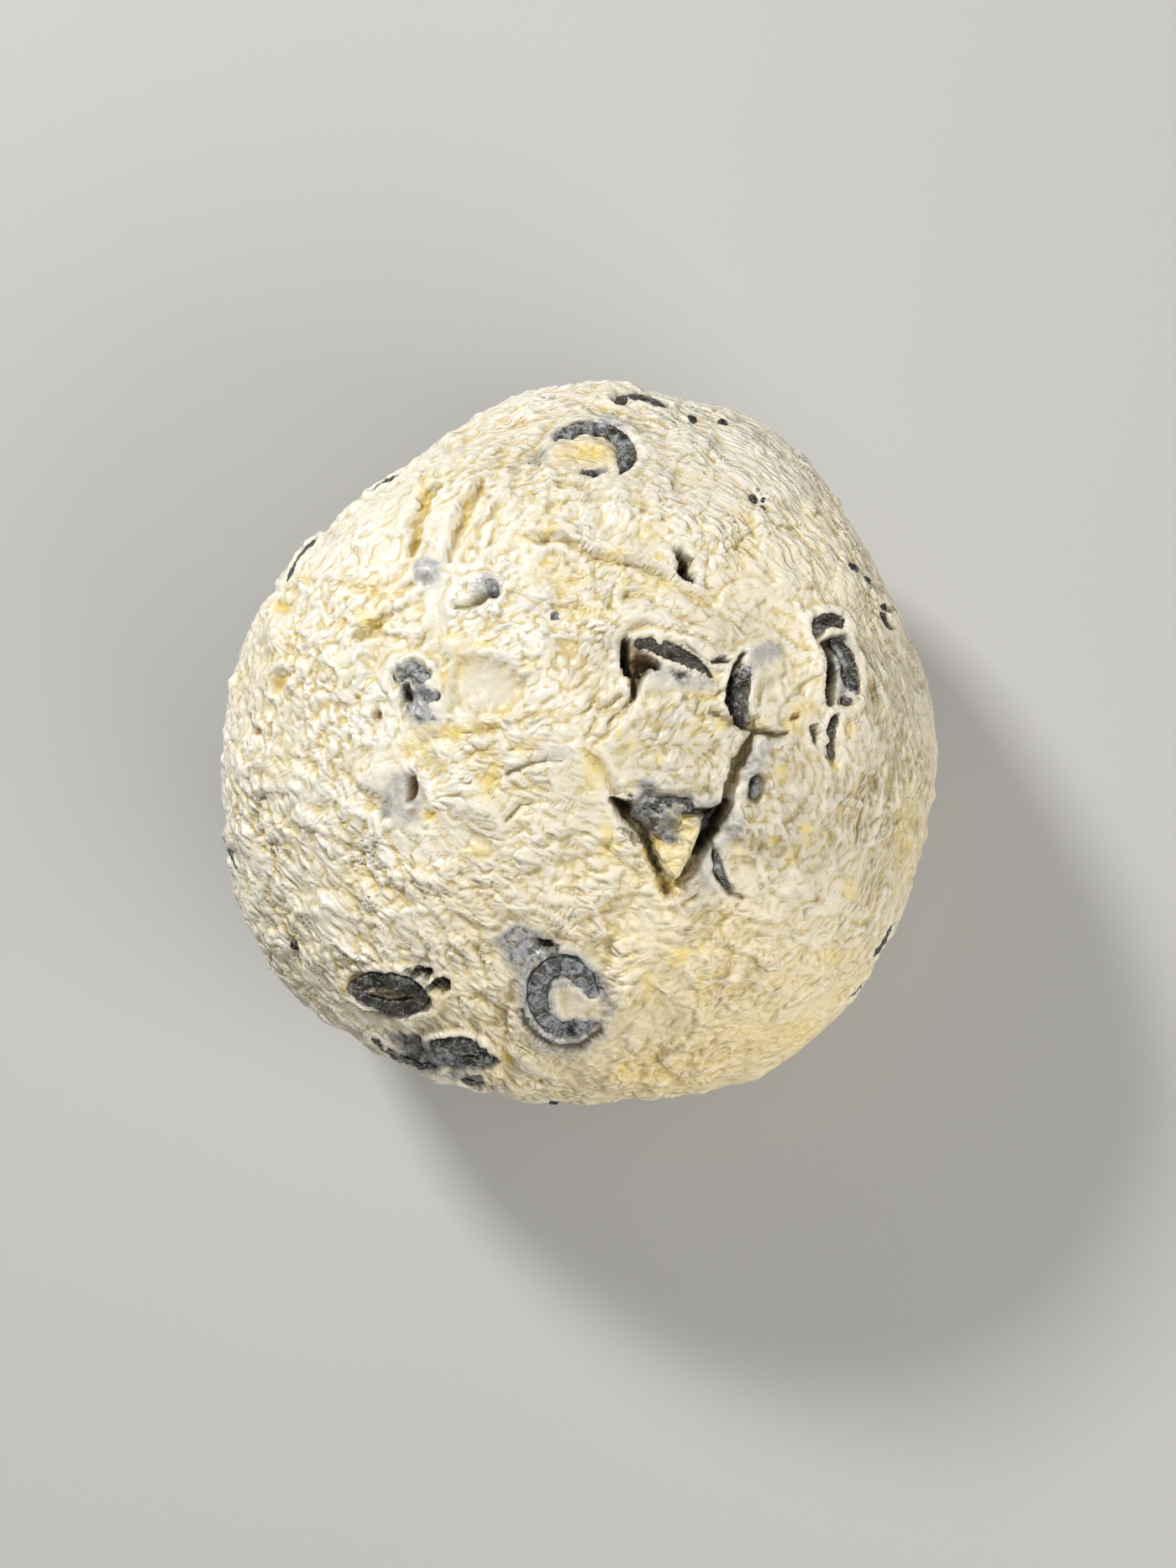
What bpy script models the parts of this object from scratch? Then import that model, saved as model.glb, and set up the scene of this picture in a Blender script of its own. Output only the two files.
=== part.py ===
"""A ball of cream cheese with slices of black olive pressed into it.

Metres, +Z up. The origin is the middle of the foot that the cheese rests on. +X is the right
and +Y the far side of the ball, for someone who looks down on it.
"""
import itertools
import math

import bmesh
import bpy
import numpy as np
from mathutils import Matrix, Vector

MM = 0.001

# Size of the ball: an ellipsoid whose underside is cut off by the foot
HALF_LENGTH = 59.4
HALF_WIDTH = 58.1
CROWN = 39.0
BELLY = 41.0
MIDDLE = np.array([0.0, -1.0, 33.0])

# Flats where the ball was pressed: azimuth, elevation, depth in mm
FLATS = [
    (126, 8, 5.9),
    (26, 10, 3.1),
    (157, 6, 1.1),
    (345, 8, 1.5),
    (265, 3, 0.7),
    (184, 5, 0.7),
]
FLAT_SOFTNESS = 3.0
FLAT_STEEPEST = 0.35

# Lumps of the surface: size and height in mm, and which noise is used
LUMPS = [
    (19.0, 1.5, 11),
    (9.5, 1.3, 12),
    (5.2, 0.9, 13),
]

# Cracks and folds: deepest cut, half width, and the line as places on the crown, in mm
CRACKS = [
    (2.2, 1.4, [(0.3, -0.8), (3.4, -5.9), (6.6, -9.0)]),
    (5.5, 1.9, [(6.6, -9.0), (10.4, -15.0), (13.0, -20.5)]),
    (5.0, 1.7, [(13.0, -20.5), (16.4, -15.6), (20.4, -10.2)]),
    (4.0, 1.6, [(20.4, -10.2), (23.2, -4.2), (24.6, 0.4)]),
    (3.4, 1.3, [(7.2, 15.8), (8.2, 11.6), (8.6, 7.4)]),
    (1.2, 1.2, [(8.6, 7.4), (6.0, 4.5), (4.0, 1.8), (1.5, -0.4)]),
    (1.7, 1.4, [(-6.8, 30.7), (-3.4, 30.2), (5.5, 26.8), (9.2, 26.6), (13.3, 24.4)]),
    (2.4, 1.5, [(-20.7, 42.5), (-24.5, 36.3), (-26.2, 29.1)]),
    (1.4, 1.3, [(-14.2, 38.1), (-17.4, 34.2), (-18.3, 28.7)]),
    (1.6, 1.4, [(-32.2, 16.8), (-28.3, 19.4), (-26.0, 23.0)]),
    (2.6, 1.2, [(15.4, 28.4), (17.4, 26.0), (16.0, 24.4)]),
]

# Shallow dents and mounds: place on the crown, radius and depth in mm, a mound's depth below zero
DENTS = [
    (-11.8, 10.7, 9.0, 1.0),
    (-18.0, 2.1, 4.0, 0.7),
    (-29.7, 4.2, 1.3, 2.2),
    (-24.0, -6.3, 1.5, 1.8),
    (-22.3, 25.7, 3.0, -0.9),
    (13.7, -1.6, 9.0, -0.9),
    (32.5, -10.0, 8.0, -0.7),
    (30.0, 2.6, 1.3, 1.8),
]

# Block that cuts the foot flat
FOOT_CUTTER_SIZE = 100.0

# Whole numbers that scramble a lattice corner into a random slope
CORNER_FACTORS = (73856093, 19349663, 83492791)
SALT_FACTOR = 668265263
STIR_FACTOR = 1274126177
STIR_MASK = 0x7FFFFFFF
SLOPE_STEPS = 10000

# Mesh of the ball
BALL_SUBDIVISIONS = 6
FINE_ZONE = 4.5
KEPT_SHARE = 0.2

# Room between an olive and the cheese, and how far its pocket reaches out past it
GAP = 0.3
POCKET_REACH = 7.0

# Olive slices
THICK = 3.0
STATION_STEP = 30.0
FEWEST_STEPS = 3
SMALL_SLICE = 4.5
SECTION_SIDES = 8
SMALL_SECTION_SIDES = 6
CORNER_ROUNDNESS = 0.5
END_TAPER = 0.55

# Slices on the lower flank: how many, and the first one's azimuth and elevation with their steps
LOWER_COUNT = 6
LOWER_AZIMUTH, LOWER_AZIMUTH_STEP = 8, 62
LOWER_ELEVATION, LOWER_ELEVATION_STEP = -14, -9
LOWER_LEVELS = 3
LOWER_TURN = 47
LOWER_SIZES = [(3.6, 2.2), (4.3, 2.2)]
LOWER_SWEEP = (0, 200)
LOWER_WIDTH = 2.4

# Chopped bits of olive that are stuck to the cheese: azimuth, elevation, radius in mm
SPECKS = [
    (33.0, 21.0, 1.3),
    (30.0, 19.5, 0.9),
    (53.0, 27.0, 0.9),
    (54.8, 28.0, 0.8),
    (52.2, 28.6, 0.7),
    (55.0, 26.0, 0.7),
    (71.0, 16.0, 0.9),
    (66.0, 14.0, 0.8),
    (100.0, 62.5, 0.8),
    (215.0, 17.0, 0.9),
    (266.0, 4.0, 1.0),
]
SPECK_SINK = 0.45


def direction(azimuth, elevation):
    """Return the unit direction at an azimuth and elevation in degrees."""
    around, up = math.radians(azimuth), math.radians(elevation)
    return np.array([math.cos(up) * math.cos(around), math.cos(up) * math.sin(around), math.sin(up)])


def on_crown(x, y):
    """Return the direction of the place on the crown that lies at x, y in plan."""
    z = CROWN * math.sqrt(1 - (x / HALF_LENGTH) ** 2 - (y / HALF_WIDTH) ** 2)
    return np.array([x, y, z]) / math.sqrt(x * x + y * y + z * z)


def ellipsoid(directions):
    """Return the plain ellipsoid's points and outward normals in the given directions."""
    rise = np.where(directions[:, 2] > 0, CROWN, BELLY)
    axes = np.stack([np.full_like(rise, HALF_LENGTH), np.full_like(rise, HALF_WIDTH), rise], axis=1)
    reach = 1 / np.linalg.norm(directions / axes, axis=1)
    points = directions * reach[:, None]
    normals = points / axes ** 2
    return points, normals / np.linalg.norm(normals, axis=1)[:, None]


def flat_depth(points, normals):
    """Return how far each point is pressed in by the flats, along its normal."""
    total = np.zeros(len(points))
    for azimuth, elevation, depth in FLATS:
        face = direction(azimuth, elevation)
        reach = math.sqrt((HALF_LENGTH * face[0]) ** 2 + (HALF_WIDTH * face[1]) ** 2 + (CROWN * face[2]) ** 2)
        height = points @ face
        over = FLAT_SOFTNESS * np.logaddexp(0, (height - reach + depth) / FLAT_SOFTNESS)
        over = np.where(height > 0, over, 0)
        total += over / np.maximum(normals @ face, FLAT_STEEPEST)
    return total


def lattice_slope(corner, salt):
    """Return a repeatable random slope for each whole-number corner of a lattice."""
    along_x, along_y, along_z = (corner[:, axis] * factor for axis, factor in enumerate(CORNER_FACTORS))
    mixed = along_x ^ along_y ^ along_z ^ salt * SALT_FACTOR
    slopes = []
    for turn in (1, 2, 3):
        mixed = (mixed ^ (mixed >> 13)) * STIR_FACTOR + turn & STIR_MASK
        slopes.append((mixed ^ (mixed >> 15)) % (2 * SLOPE_STEPS + 1) / SLOPE_STEPS - 1)
    return np.stack(slopes, axis=1)


def gradient_noise(points, salt):
    """Return smooth noise of about -1 to 1: lattice slopes blended with a fifth-power fade."""
    base = np.floor(points).astype(np.int64)
    part = points - base
    fade = part ** 3 * (part * (part * 6 - 15) + 10)
    total = np.zeros(len(points))
    for offset in itertools.product((0, 1), repeat=3):
        slope = lattice_slope(base + offset, salt)
        weight = np.prod(np.where(np.array(offset) == 1, fade, 1 - fade), axis=1)
        total += weight * np.sum(slope * (part - offset), axis=1)
    return total


def lump_height(points):
    """Return the height of the surface's lumps, as a sum of noises of falling size."""
    return sum(height * gradient_noise(points / size, salt) for size, height, salt in LUMPS)


def distance_to_line(points, line):
    """Return each point's distance to a line of places on the crown."""
    corners = ellipsoid(np.array([on_crown(*place) for place in line]))[0]
    nearest = np.full(len(points), np.inf)
    for start, end in zip(corners, corners[1:]):
        run = end - start
        share = np.clip((points - start) @ run / (run @ run), 0, 1)
        away = np.linalg.norm(points - start - share[:, None] * run, axis=1)
        nearest = np.minimum(nearest, away)
    return nearest


def crack_depth(points):
    """Return the depth of the cracks: across each, a bell curve of its half width."""
    depths = [
        deepest * np.exp(-(distance_to_line(points, line) / half_width) ** 2)
        for deepest, half_width, line in CRACKS
    ]
    return np.max(depths, axis=0)


def dent_depth(points):
    """Return the depth of the dents, each a bell curve round its place."""
    total = np.zeros(len(points))
    for x, y, radius, depth in DENTS:
        middle = ellipsoid(on_crown(x, y)[None])[0]
        total += depth * np.exp(-(np.linalg.norm(points - middle, axis=1) / radius) ** 2)
    return total


def surface(directions):
    """Return the points of the cheese's surface for an array of directions, before the foot is cut."""
    points, normals = ellipsoid(directions)
    height = lump_height(points) - flat_depth(points, normals) - crack_depth(points) - dent_depth(points)
    return points + normals * height[:, None] + MIDDLE


def seat(toward):
    """Return the turn and the point at which a piece lies on the ball, ignoring lumps and cracks."""
    points, normals = ellipsoid(toward[None])
    point = points[0] - normals[0] * flat_depth(points, normals)[0] + MIDDLE
    outward = Vector(normals[0])
    return Vector((0, 0, 1)).rotation_difference(outward), Vector(point)


def remove_everything():
    """Empty the scene."""
    for item in list(bpy.data.objects):
        bpy.data.objects.remove(item, do_unlink=True)


def new_collection(name):
    """Make a collection in the scene."""
    collection = bpy.data.collections.new(name)
    bpy.context.scene.collection.children.link(collection)
    return collection


def new_material(name, colour, roughness):
    """Make a Principled material."""
    material = bpy.data.materials.new(name)
    material.use_nodes = True
    material.diffuse_color = (*colour, 1)
    shader = material.node_tree.nodes["Principled BSDF"]
    shader.inputs["Base Color"].default_value = (*colour, 1)
    shader.inputs["Roughness"].default_value = roughness
    shader.inputs["Metallic"].default_value = 0
    return material


def new_object(name, shape, collection, material=None):
    """Turn a bmesh in mm into an object in metres."""
    bmesh.ops.scale(shape, vec=(MM, MM, MM), verts=shape.verts)
    bmesh.ops.recalc_face_normals(shape, faces=shape.faces)
    mesh = bpy.data.meshes.new(name)
    shape.to_mesh(mesh)
    shape.free()
    if material:
        mesh.materials.append(material)
    item = bpy.data.objects.new(name, mesh)
    collection.objects.link(item)
    return item


def as_tool(item):
    """Mark an object as one that only cuts or joins."""
    item.hide_render = True
    item.display_type = "WIRE"


def make_ball(collection, material):
    """Make the cheese: a ball, finer along its cracks, moved out to the surface and thinned."""
    shape = bmesh.new()
    bmesh.ops.create_icosphere(shape, subdivisions=BALL_SUBDIVISIONS, radius=1)
    directions = np.array([vert.co for vert in shape.verts])
    points = ellipsoid(directions)[0]
    near = np.min([distance_to_line(points, line) for _, _, line in CRACKS], axis=0) < FINE_ZONE
    shape.edges.ensure_lookup_table()
    fine = [edge for edge in shape.edges if near[edge.verts[0].index] and near[edge.verts[1].index]]
    bmesh.ops.subdivide_edges(shape, edges=fine, cuts=1, use_grid_fill=True)
    bmesh.ops.triangulate(shape, faces=shape.faces)
    directions = np.array([vert.co.normalized() for vert in shape.verts])
    for vert, point in zip(shape.verts, surface(directions)):
        vert.co = point
    ball = new_object("cheese", shape, collection, material)
    thin = ball.modifiers.new("fewer faces", "DECIMATE")
    thin.ratio = KEPT_SHARE
    thin.use_collapse_triangulate = True
    ball.data.shade_smooth()
    return ball


def add_section(shape, size, angle, width, height, reach, sides):
    """Add one rounded oblong section across the ellipse's wall, its upper half raised by the reach."""
    half_long, half_short = size
    upright = math.pi / sides if sides % 4 == 0 else 0
    verts = bmesh.ops.create_circle(shape, segments=sides, radius=1)["verts"]
    for vert in verts:
        turned = vert.co.to_2d()
        turned.rotate(Matrix.Rotation(upright, 2))
        across = math.copysign(abs(turned.x) ** CORNER_ROUNDNESS, turned.x) * width / 2
        up = math.copysign(abs(turned.y) ** CORNER_ROUNDNESS, turned.y) * height / 2
        x = (half_long + across) * math.cos(angle)
        y = (half_short + across) * math.sin(angle)
        vert.co = Vector((x, y, up + reach if up > 0 else up))
    return verts


def station_shares(sweep):
    """Return where along a slice its sections stand, as shares of the sweep, at most a step apart."""
    steps = max(FEWEST_STEPS, math.ceil((sweep[1] - sweep[0]) / STATION_STEP))
    last = steps if is_ring(sweep) else steps + 1
    return [index / steps for index in range(last)]


def is_ring(sweep):
    """Tell whether a slice is a whole ring."""
    return sweep[1] - sweep[0] >= 360


def sweep_angle(sweep, share):
    """Return the angle at a share of a sweep, in radians."""
    return math.radians(sweep[0] + (sweep[1] - sweep[0]) * share)


def slice_middle(size, sweep):
    """Return the mean place of a slice's sections, which lies over the slice's seat."""
    angles = [sweep_angle(sweep, share) for share in station_shares(sweep)]
    x = sum(size[0] * math.cos(angle) for angle in angles) / len(angles)
    y = sum(size[1] * math.sin(angle) for angle in angles) / len(angles)
    return Vector((x, y, 0))


def slice_shape(size, sweep, width, thickness, grown=0.0, reach=0.0):
    """Loft an olive slice: sections stand along an ellipse, and taper at the ends of an open one.

    grown makes the slice larger on every side, and reach makes it longer upward.
    """
    shape = bmesh.new()
    ring = is_ring(sweep)
    sides = SECTION_SIDES if max(size) > SMALL_SLICE else SMALL_SECTION_SIDES
    past_end = 0 if ring else grown / (min(size) - END_TAPER * width / 2)
    sections = []
    for share in station_shares(sweep):
        angle = sweep_angle(sweep, share) + past_end * (2 * share - 1) * (not ring)
        taper = 1 if ring else END_TAPER + (1 - END_TAPER) * math.sin(math.pi * share) ** 0.5
        wide, high = width * taper + 2 * grown, thickness * taper + 2 * grown
        sections.append(add_section(shape, size, angle, wide, high, reach, sides))
    following = sections[1:] + sections[:1] if ring else sections[1:]
    for here, after in zip(sections, following):
        join_rings(shape, here, after)
    if not ring:
        shape.faces.new(sections[0])
        shape.faces.new(sections[-1])
    bmesh.ops.translate(shape, vec=-slice_middle(size, sweep), verts=shape.verts)
    bmesh.ops.triangulate(shape, faces=shape.faces)
    return shape


def join_rings(shape, ring, following):
    """Close the strip between two sections with four-sided faces."""
    for side in range(len(ring)):
        after = (side + 1) % len(ring)
        shape.faces.new((ring[side], ring[after], following[after], following[side]))


def olive(name, toward, size, sweep, width, turn, tilt=0.0, proud=0.4, thickness=THICK):
    """Describe one slice: its place on the ball, its ellipse, and how it lies in the cheese."""
    return {
        "name": name,
        "toward": toward,
        "shape": (size, sweep, width, thickness),
        "turn": turn,
        "tilt": tilt,
        "proud": proud,
    }


def olive_slices():
    """List the olive slices, first those on the crown and then those on the flanks."""
    ring = (0, 360)
    slices = [
        olive("olive_ring_front", on_crown(-2.2, -37.4), (5.7, 3.8), ring, 3.2, 97, tilt=4),
        olive("olive_oval_front_left", on_crown(-28.7, -37.3), (5.6, 2.5), ring, 3.0, 4),
        olive("olive_ring_back", on_crown(2.4, 44.6), (5.2, 4.4), ring, 2.8, -25),
        olive("olive_front_long", direction(240.6, 13.4), (4.8, 2.2), (170, 370), 2.6, -18),
        olive("olive_front_ring", direction(249.2, 22), (3.7, 2.0), ring, 2.8, -4),
        olive("olive_front_bit", direction(253, 12), (2.2, 1.4), (20, 250), 1.8, 0),
        olive("olive_left", on_crown(-23.6, 8.2), (4.0, 2.4), (-20, 235), 2.5, -62, proud=0.1),
        olive("olive_crown", on_crown(14.4, 12.6), (6.6, 3.0), (22, 158), 2.8, -27, tilt=18),
        olive("olive_right_arc", on_crown(25.2, 8.6), (4.8, 2.8), (-12, 195), 2.6, 72, tilt=14),
        olive("olive_far_right_knob", on_crown(37.8, 17.9), (2.6, 1.7), (-20, 200), 2.2, 15),
        olive("olive_far_right_arc", on_crown(40.0, 11.2), (4.4, 2.0), (-5, 190), 2.4, -82, tilt=14),
        olive("olive_far_right_edge", on_crown(37.9, 1.4), (6.5, 6.5), (58, 122), 1.3, 82),
        olive("olive_island_tip", on_crown(12.9, -8.0), (5.2, 2.2), (185, 350), 2.6, -4, tilt=-10),
        olive("olive_crack_edge", on_crown(21.2, -18.6), (7.0, 7.0), (243, 297), 1.3, -68),
        olive("olive_crack_wall", on_crown(26.2, -6.2), (3.2, 3.2), (58, 122), 1.5, 80),
        olive("olive_wedge", on_crown(-13.8, 23.2), (2.2, 1.6), (20, 165), 1.8, -20),
        olive("olive_back_edge", direction(80, 15), (3.2, 2.0), (-20, 205), 2.2, 4),
        olive("olive_back_left_high", direction(126, 7), (2.6, 1.4), (10, 190), 1.8, 0),
        olive("olive_back_left_middle", direction(135, 7), (2.0, 1.4), (10, 190), 1.7, 30),
        olive("olive_back_left_low", direction(146, 12), (3.4, 1.8), (-10, 210), 2.2, 60),
        olive("olive_left_edge", direction(197, 8), (2.4, 1.4), (0, 180), 1.7, 95),
        olive("olive_right_front_high", direction(327, 10), (3.2, 1.5), (180, 360), 2.0, 60),
        olive("olive_right_front_low", direction(319, 6), (1.8, 1.3), (180, 360), 1.6, 50),
        olive("olive_right_bit", direction(23, 18), (1.7, 1.4), (0, 220), 1.7, 70),
    ]
    return slices + lower_slices()


def lower_slices():
    """List the slices of the lower flank, evenly spaced round it, each turned on from the last."""
    slices = []
    for index in range(LOWER_COUNT):
        azimuth = LOWER_AZIMUTH + LOWER_AZIMUTH_STEP * index
        elevation = LOWER_ELEVATION + LOWER_ELEVATION_STEP * (index % LOWER_LEVELS)
        name = f"olive_lower_{index + 1}"
        size = LOWER_SIZES[index % 2]
        toward = direction(azimuth, elevation)
        slices.append(olive(name, toward, size, LOWER_SWEEP, LOWER_WIDTH, LOWER_TURN * index, proud=0.2))
    return slices


def placement(entry):
    """Return the matrix that lays a slice on the ball."""
    rotation, point = seat(entry["toward"])
    thickness = entry["shape"][3]
    lying = Matrix.Rotation(math.radians(entry["turn"]), 4, "Z")
    leaning = Matrix.Rotation(math.radians(entry["tilt"]), 4, "X")
    sunk = Matrix.Translation((0, 0, (entry["proud"] - thickness / 2) * MM))
    return Matrix.Translation(point * MM) @ rotation.to_matrix().to_4x4() @ lying @ sunk @ leaning


def make_slice(entry, collection, cutters, material):
    """Make one olive slice, and the cutter of its pocket in the cheese."""
    matrix = placement(entry)
    piece = new_object(entry["name"], slice_shape(*entry["shape"]), collection, material)
    piece.data.shade_smooth()
    piece.matrix_world = matrix
    pocket = slice_shape(*entry["shape"], grown=GAP, reach=POCKET_REACH)
    cutter = new_object(entry["name"] + "_pocket", pocket, cutters)
    cutter.matrix_world = matrix
    as_tool(cutter)


def make_speck(index, azimuth, elevation, radius, collection):
    """Make one chopped bit, sunk partly into the cheese."""
    shape = bmesh.new()
    bmesh.ops.create_icosphere(shape, subdivisions=2, radius=radius)
    speck = new_object(f"speck_{index}", shape, collection)
    rotation, point = seat(direction(azimuth, elevation))
    outward = rotation @ Vector((0, 0, 1))
    speck.matrix_world = Matrix.Translation((point - outward * radius * SPECK_SINK) * MM)
    as_tool(speck)


def make_foot_cutter(collection):
    """Make the block that cuts the underside flat at the level on which the cheese rests."""
    shape = bmesh.new()
    bmesh.ops.create_cube(shape, size=FOOT_CUTTER_SIZE)
    bmesh.ops.translate(shape, vec=(0, 0, -FOOT_CUTTER_SIZE / 2), verts=shape.verts)
    as_tool(new_object("foot_cutter", shape, collection))


def combine(target, operation, collection):
    """Cut or join a whole collection into an object."""
    step = target.modifiers.new(operation.lower(), "BOOLEAN")
    step.operation = operation
    step.operand_type = "COLLECTION"
    step.collection = collection
    step.solver = "EXACT"


def main():
    """Build the cheese with its olive slices."""
    remove_everything()
    parts = new_collection("cream_cheese")
    cutters = new_collection("pockets")
    bits = new_collection("specks")
    cream = new_material("cream", (0.80, 0.72, 0.50), 0.45)
    black_olive = new_material("black_olive", (0.035, 0.035, 0.03), 0.4)
    ball = make_ball(parts, cream)
    for entry in olive_slices():
        make_slice(entry, parts, cutters, black_olive)
    for index, (azimuth, elevation, radius) in enumerate(SPECKS):
        make_speck(index, azimuth, elevation, radius, bits)
    make_foot_cutter(cutters)
    combine(ball, "UNION", bits)
    combine(ball, "DIFFERENCE", cutters)


main()
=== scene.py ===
"""Looks of a ball of cream cheese with slices of black olive pressed into it.

Lengths in the tables are in mm, and places marked px are pixels of the 1400 x 1867 view from above,
px counted to the right and down. A surface is always the plain ball plus a height along its normal.
"""
import itertools
import math

import bpy
import numpy as np
from mathutils import Matrix, Vector

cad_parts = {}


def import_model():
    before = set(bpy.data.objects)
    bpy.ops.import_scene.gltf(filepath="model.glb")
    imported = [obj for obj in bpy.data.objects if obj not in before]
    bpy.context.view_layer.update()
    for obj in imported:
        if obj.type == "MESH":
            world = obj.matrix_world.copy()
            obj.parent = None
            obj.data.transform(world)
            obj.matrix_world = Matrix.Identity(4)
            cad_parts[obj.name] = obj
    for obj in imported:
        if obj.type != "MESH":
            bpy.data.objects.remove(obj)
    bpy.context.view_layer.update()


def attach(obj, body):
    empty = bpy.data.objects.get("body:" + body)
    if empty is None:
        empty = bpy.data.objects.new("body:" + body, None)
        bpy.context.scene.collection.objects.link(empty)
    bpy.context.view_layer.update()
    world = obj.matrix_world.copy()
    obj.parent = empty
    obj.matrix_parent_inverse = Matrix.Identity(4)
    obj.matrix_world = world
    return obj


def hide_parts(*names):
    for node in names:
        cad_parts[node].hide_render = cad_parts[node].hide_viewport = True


MM = 0.001

# The ball, as in the solids
HALF_LENGTH = 59.4
HALF_WIDTH = 58.1
CROWN = 39.0
BELLY = 41.0
MIDDLE = np.array([0.0, -1.0, 33.0])
FLATS = [
    (126, 8, 5.9),
    (26, 10, 3.1),
    (157, 6, 1.1),
    (345, 8, 1.5),
    (265, 3, 0.7),
    (184, 5, 0.7),
]
FLAT_SOFTNESS = 3.0
FLAT_STEEPEST = 0.35

# Noises: size in mm, height, and which noise is used
LUMPS = [(19.0, 1.5, 11), (9.5, 1.3, 12), (5.2, 0.9, 13)]
CRACK_WANDER = [(1.6, 0.55, 301), (0.7, 0.35, 302)]
LEDGE_WANDER = [(2.5, 4, 311)]
SHAPE_WANDER = [(1.5, 1.0, 321), (0.7, 0.8, 322)]
MARK_WANDER = [(1.2, 0.5, 601), (0.6, 0.3, 602)]

# Above this height in mm the top sinks by this share, so that it ends where the solids end
TOP = 71.6
TOP_SQUEEZE = 0.65

# The underside: below this height in mm it has dimples
UNDERSIDE = 1.0
DIMPLE_SIZE, DIMPLE_SALT, DIMPLE_FROM, DIMPLE_HEIGHT, DIMPLE_FOLDS = 3.0, 501, 0.1, 0.8, 0.15

# Whole numbers that scramble a lattice corner into a random slope
CORNER_FACTORS = (73856093, 19349663, 83492791)
SALT_FACTOR = 668265263
STIR_FACTOR = 1274126177
STIR_MASK = 0x7FFFFFFF
SLOPE_STEPS = 10000
CELL_SCATTER = 0.45
FAR = 9.0

# The view from above
CAMERA_PLACE = (1.53, -6.67, 483.0)
VIEW_WIDTH, VIEW_HEIGHT = 1400, 1867
PX_PER_MM = 7.5
SENSOR = 36.0
FOCAL_PX = PX_PER_MM * (CAMERA_PLACE[2] - MIDDLE[2])
UNSEEN_PX = -9999
UNSEEN_BELOW = -4

# Grid of the cheese: cells along a side, and which polar angle lies at which share of the wrap
GRID = 315
WRAP_SHARES = [0.0, 1.0, 1.3, 1.85, 2.0]
WRAP_ANGLES = [0.0, 62.0, 90.0, 143.0, 180.0]
TINY = 1e-9
POLE = 1e-7
JOIN_STEPS = 1e6

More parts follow.
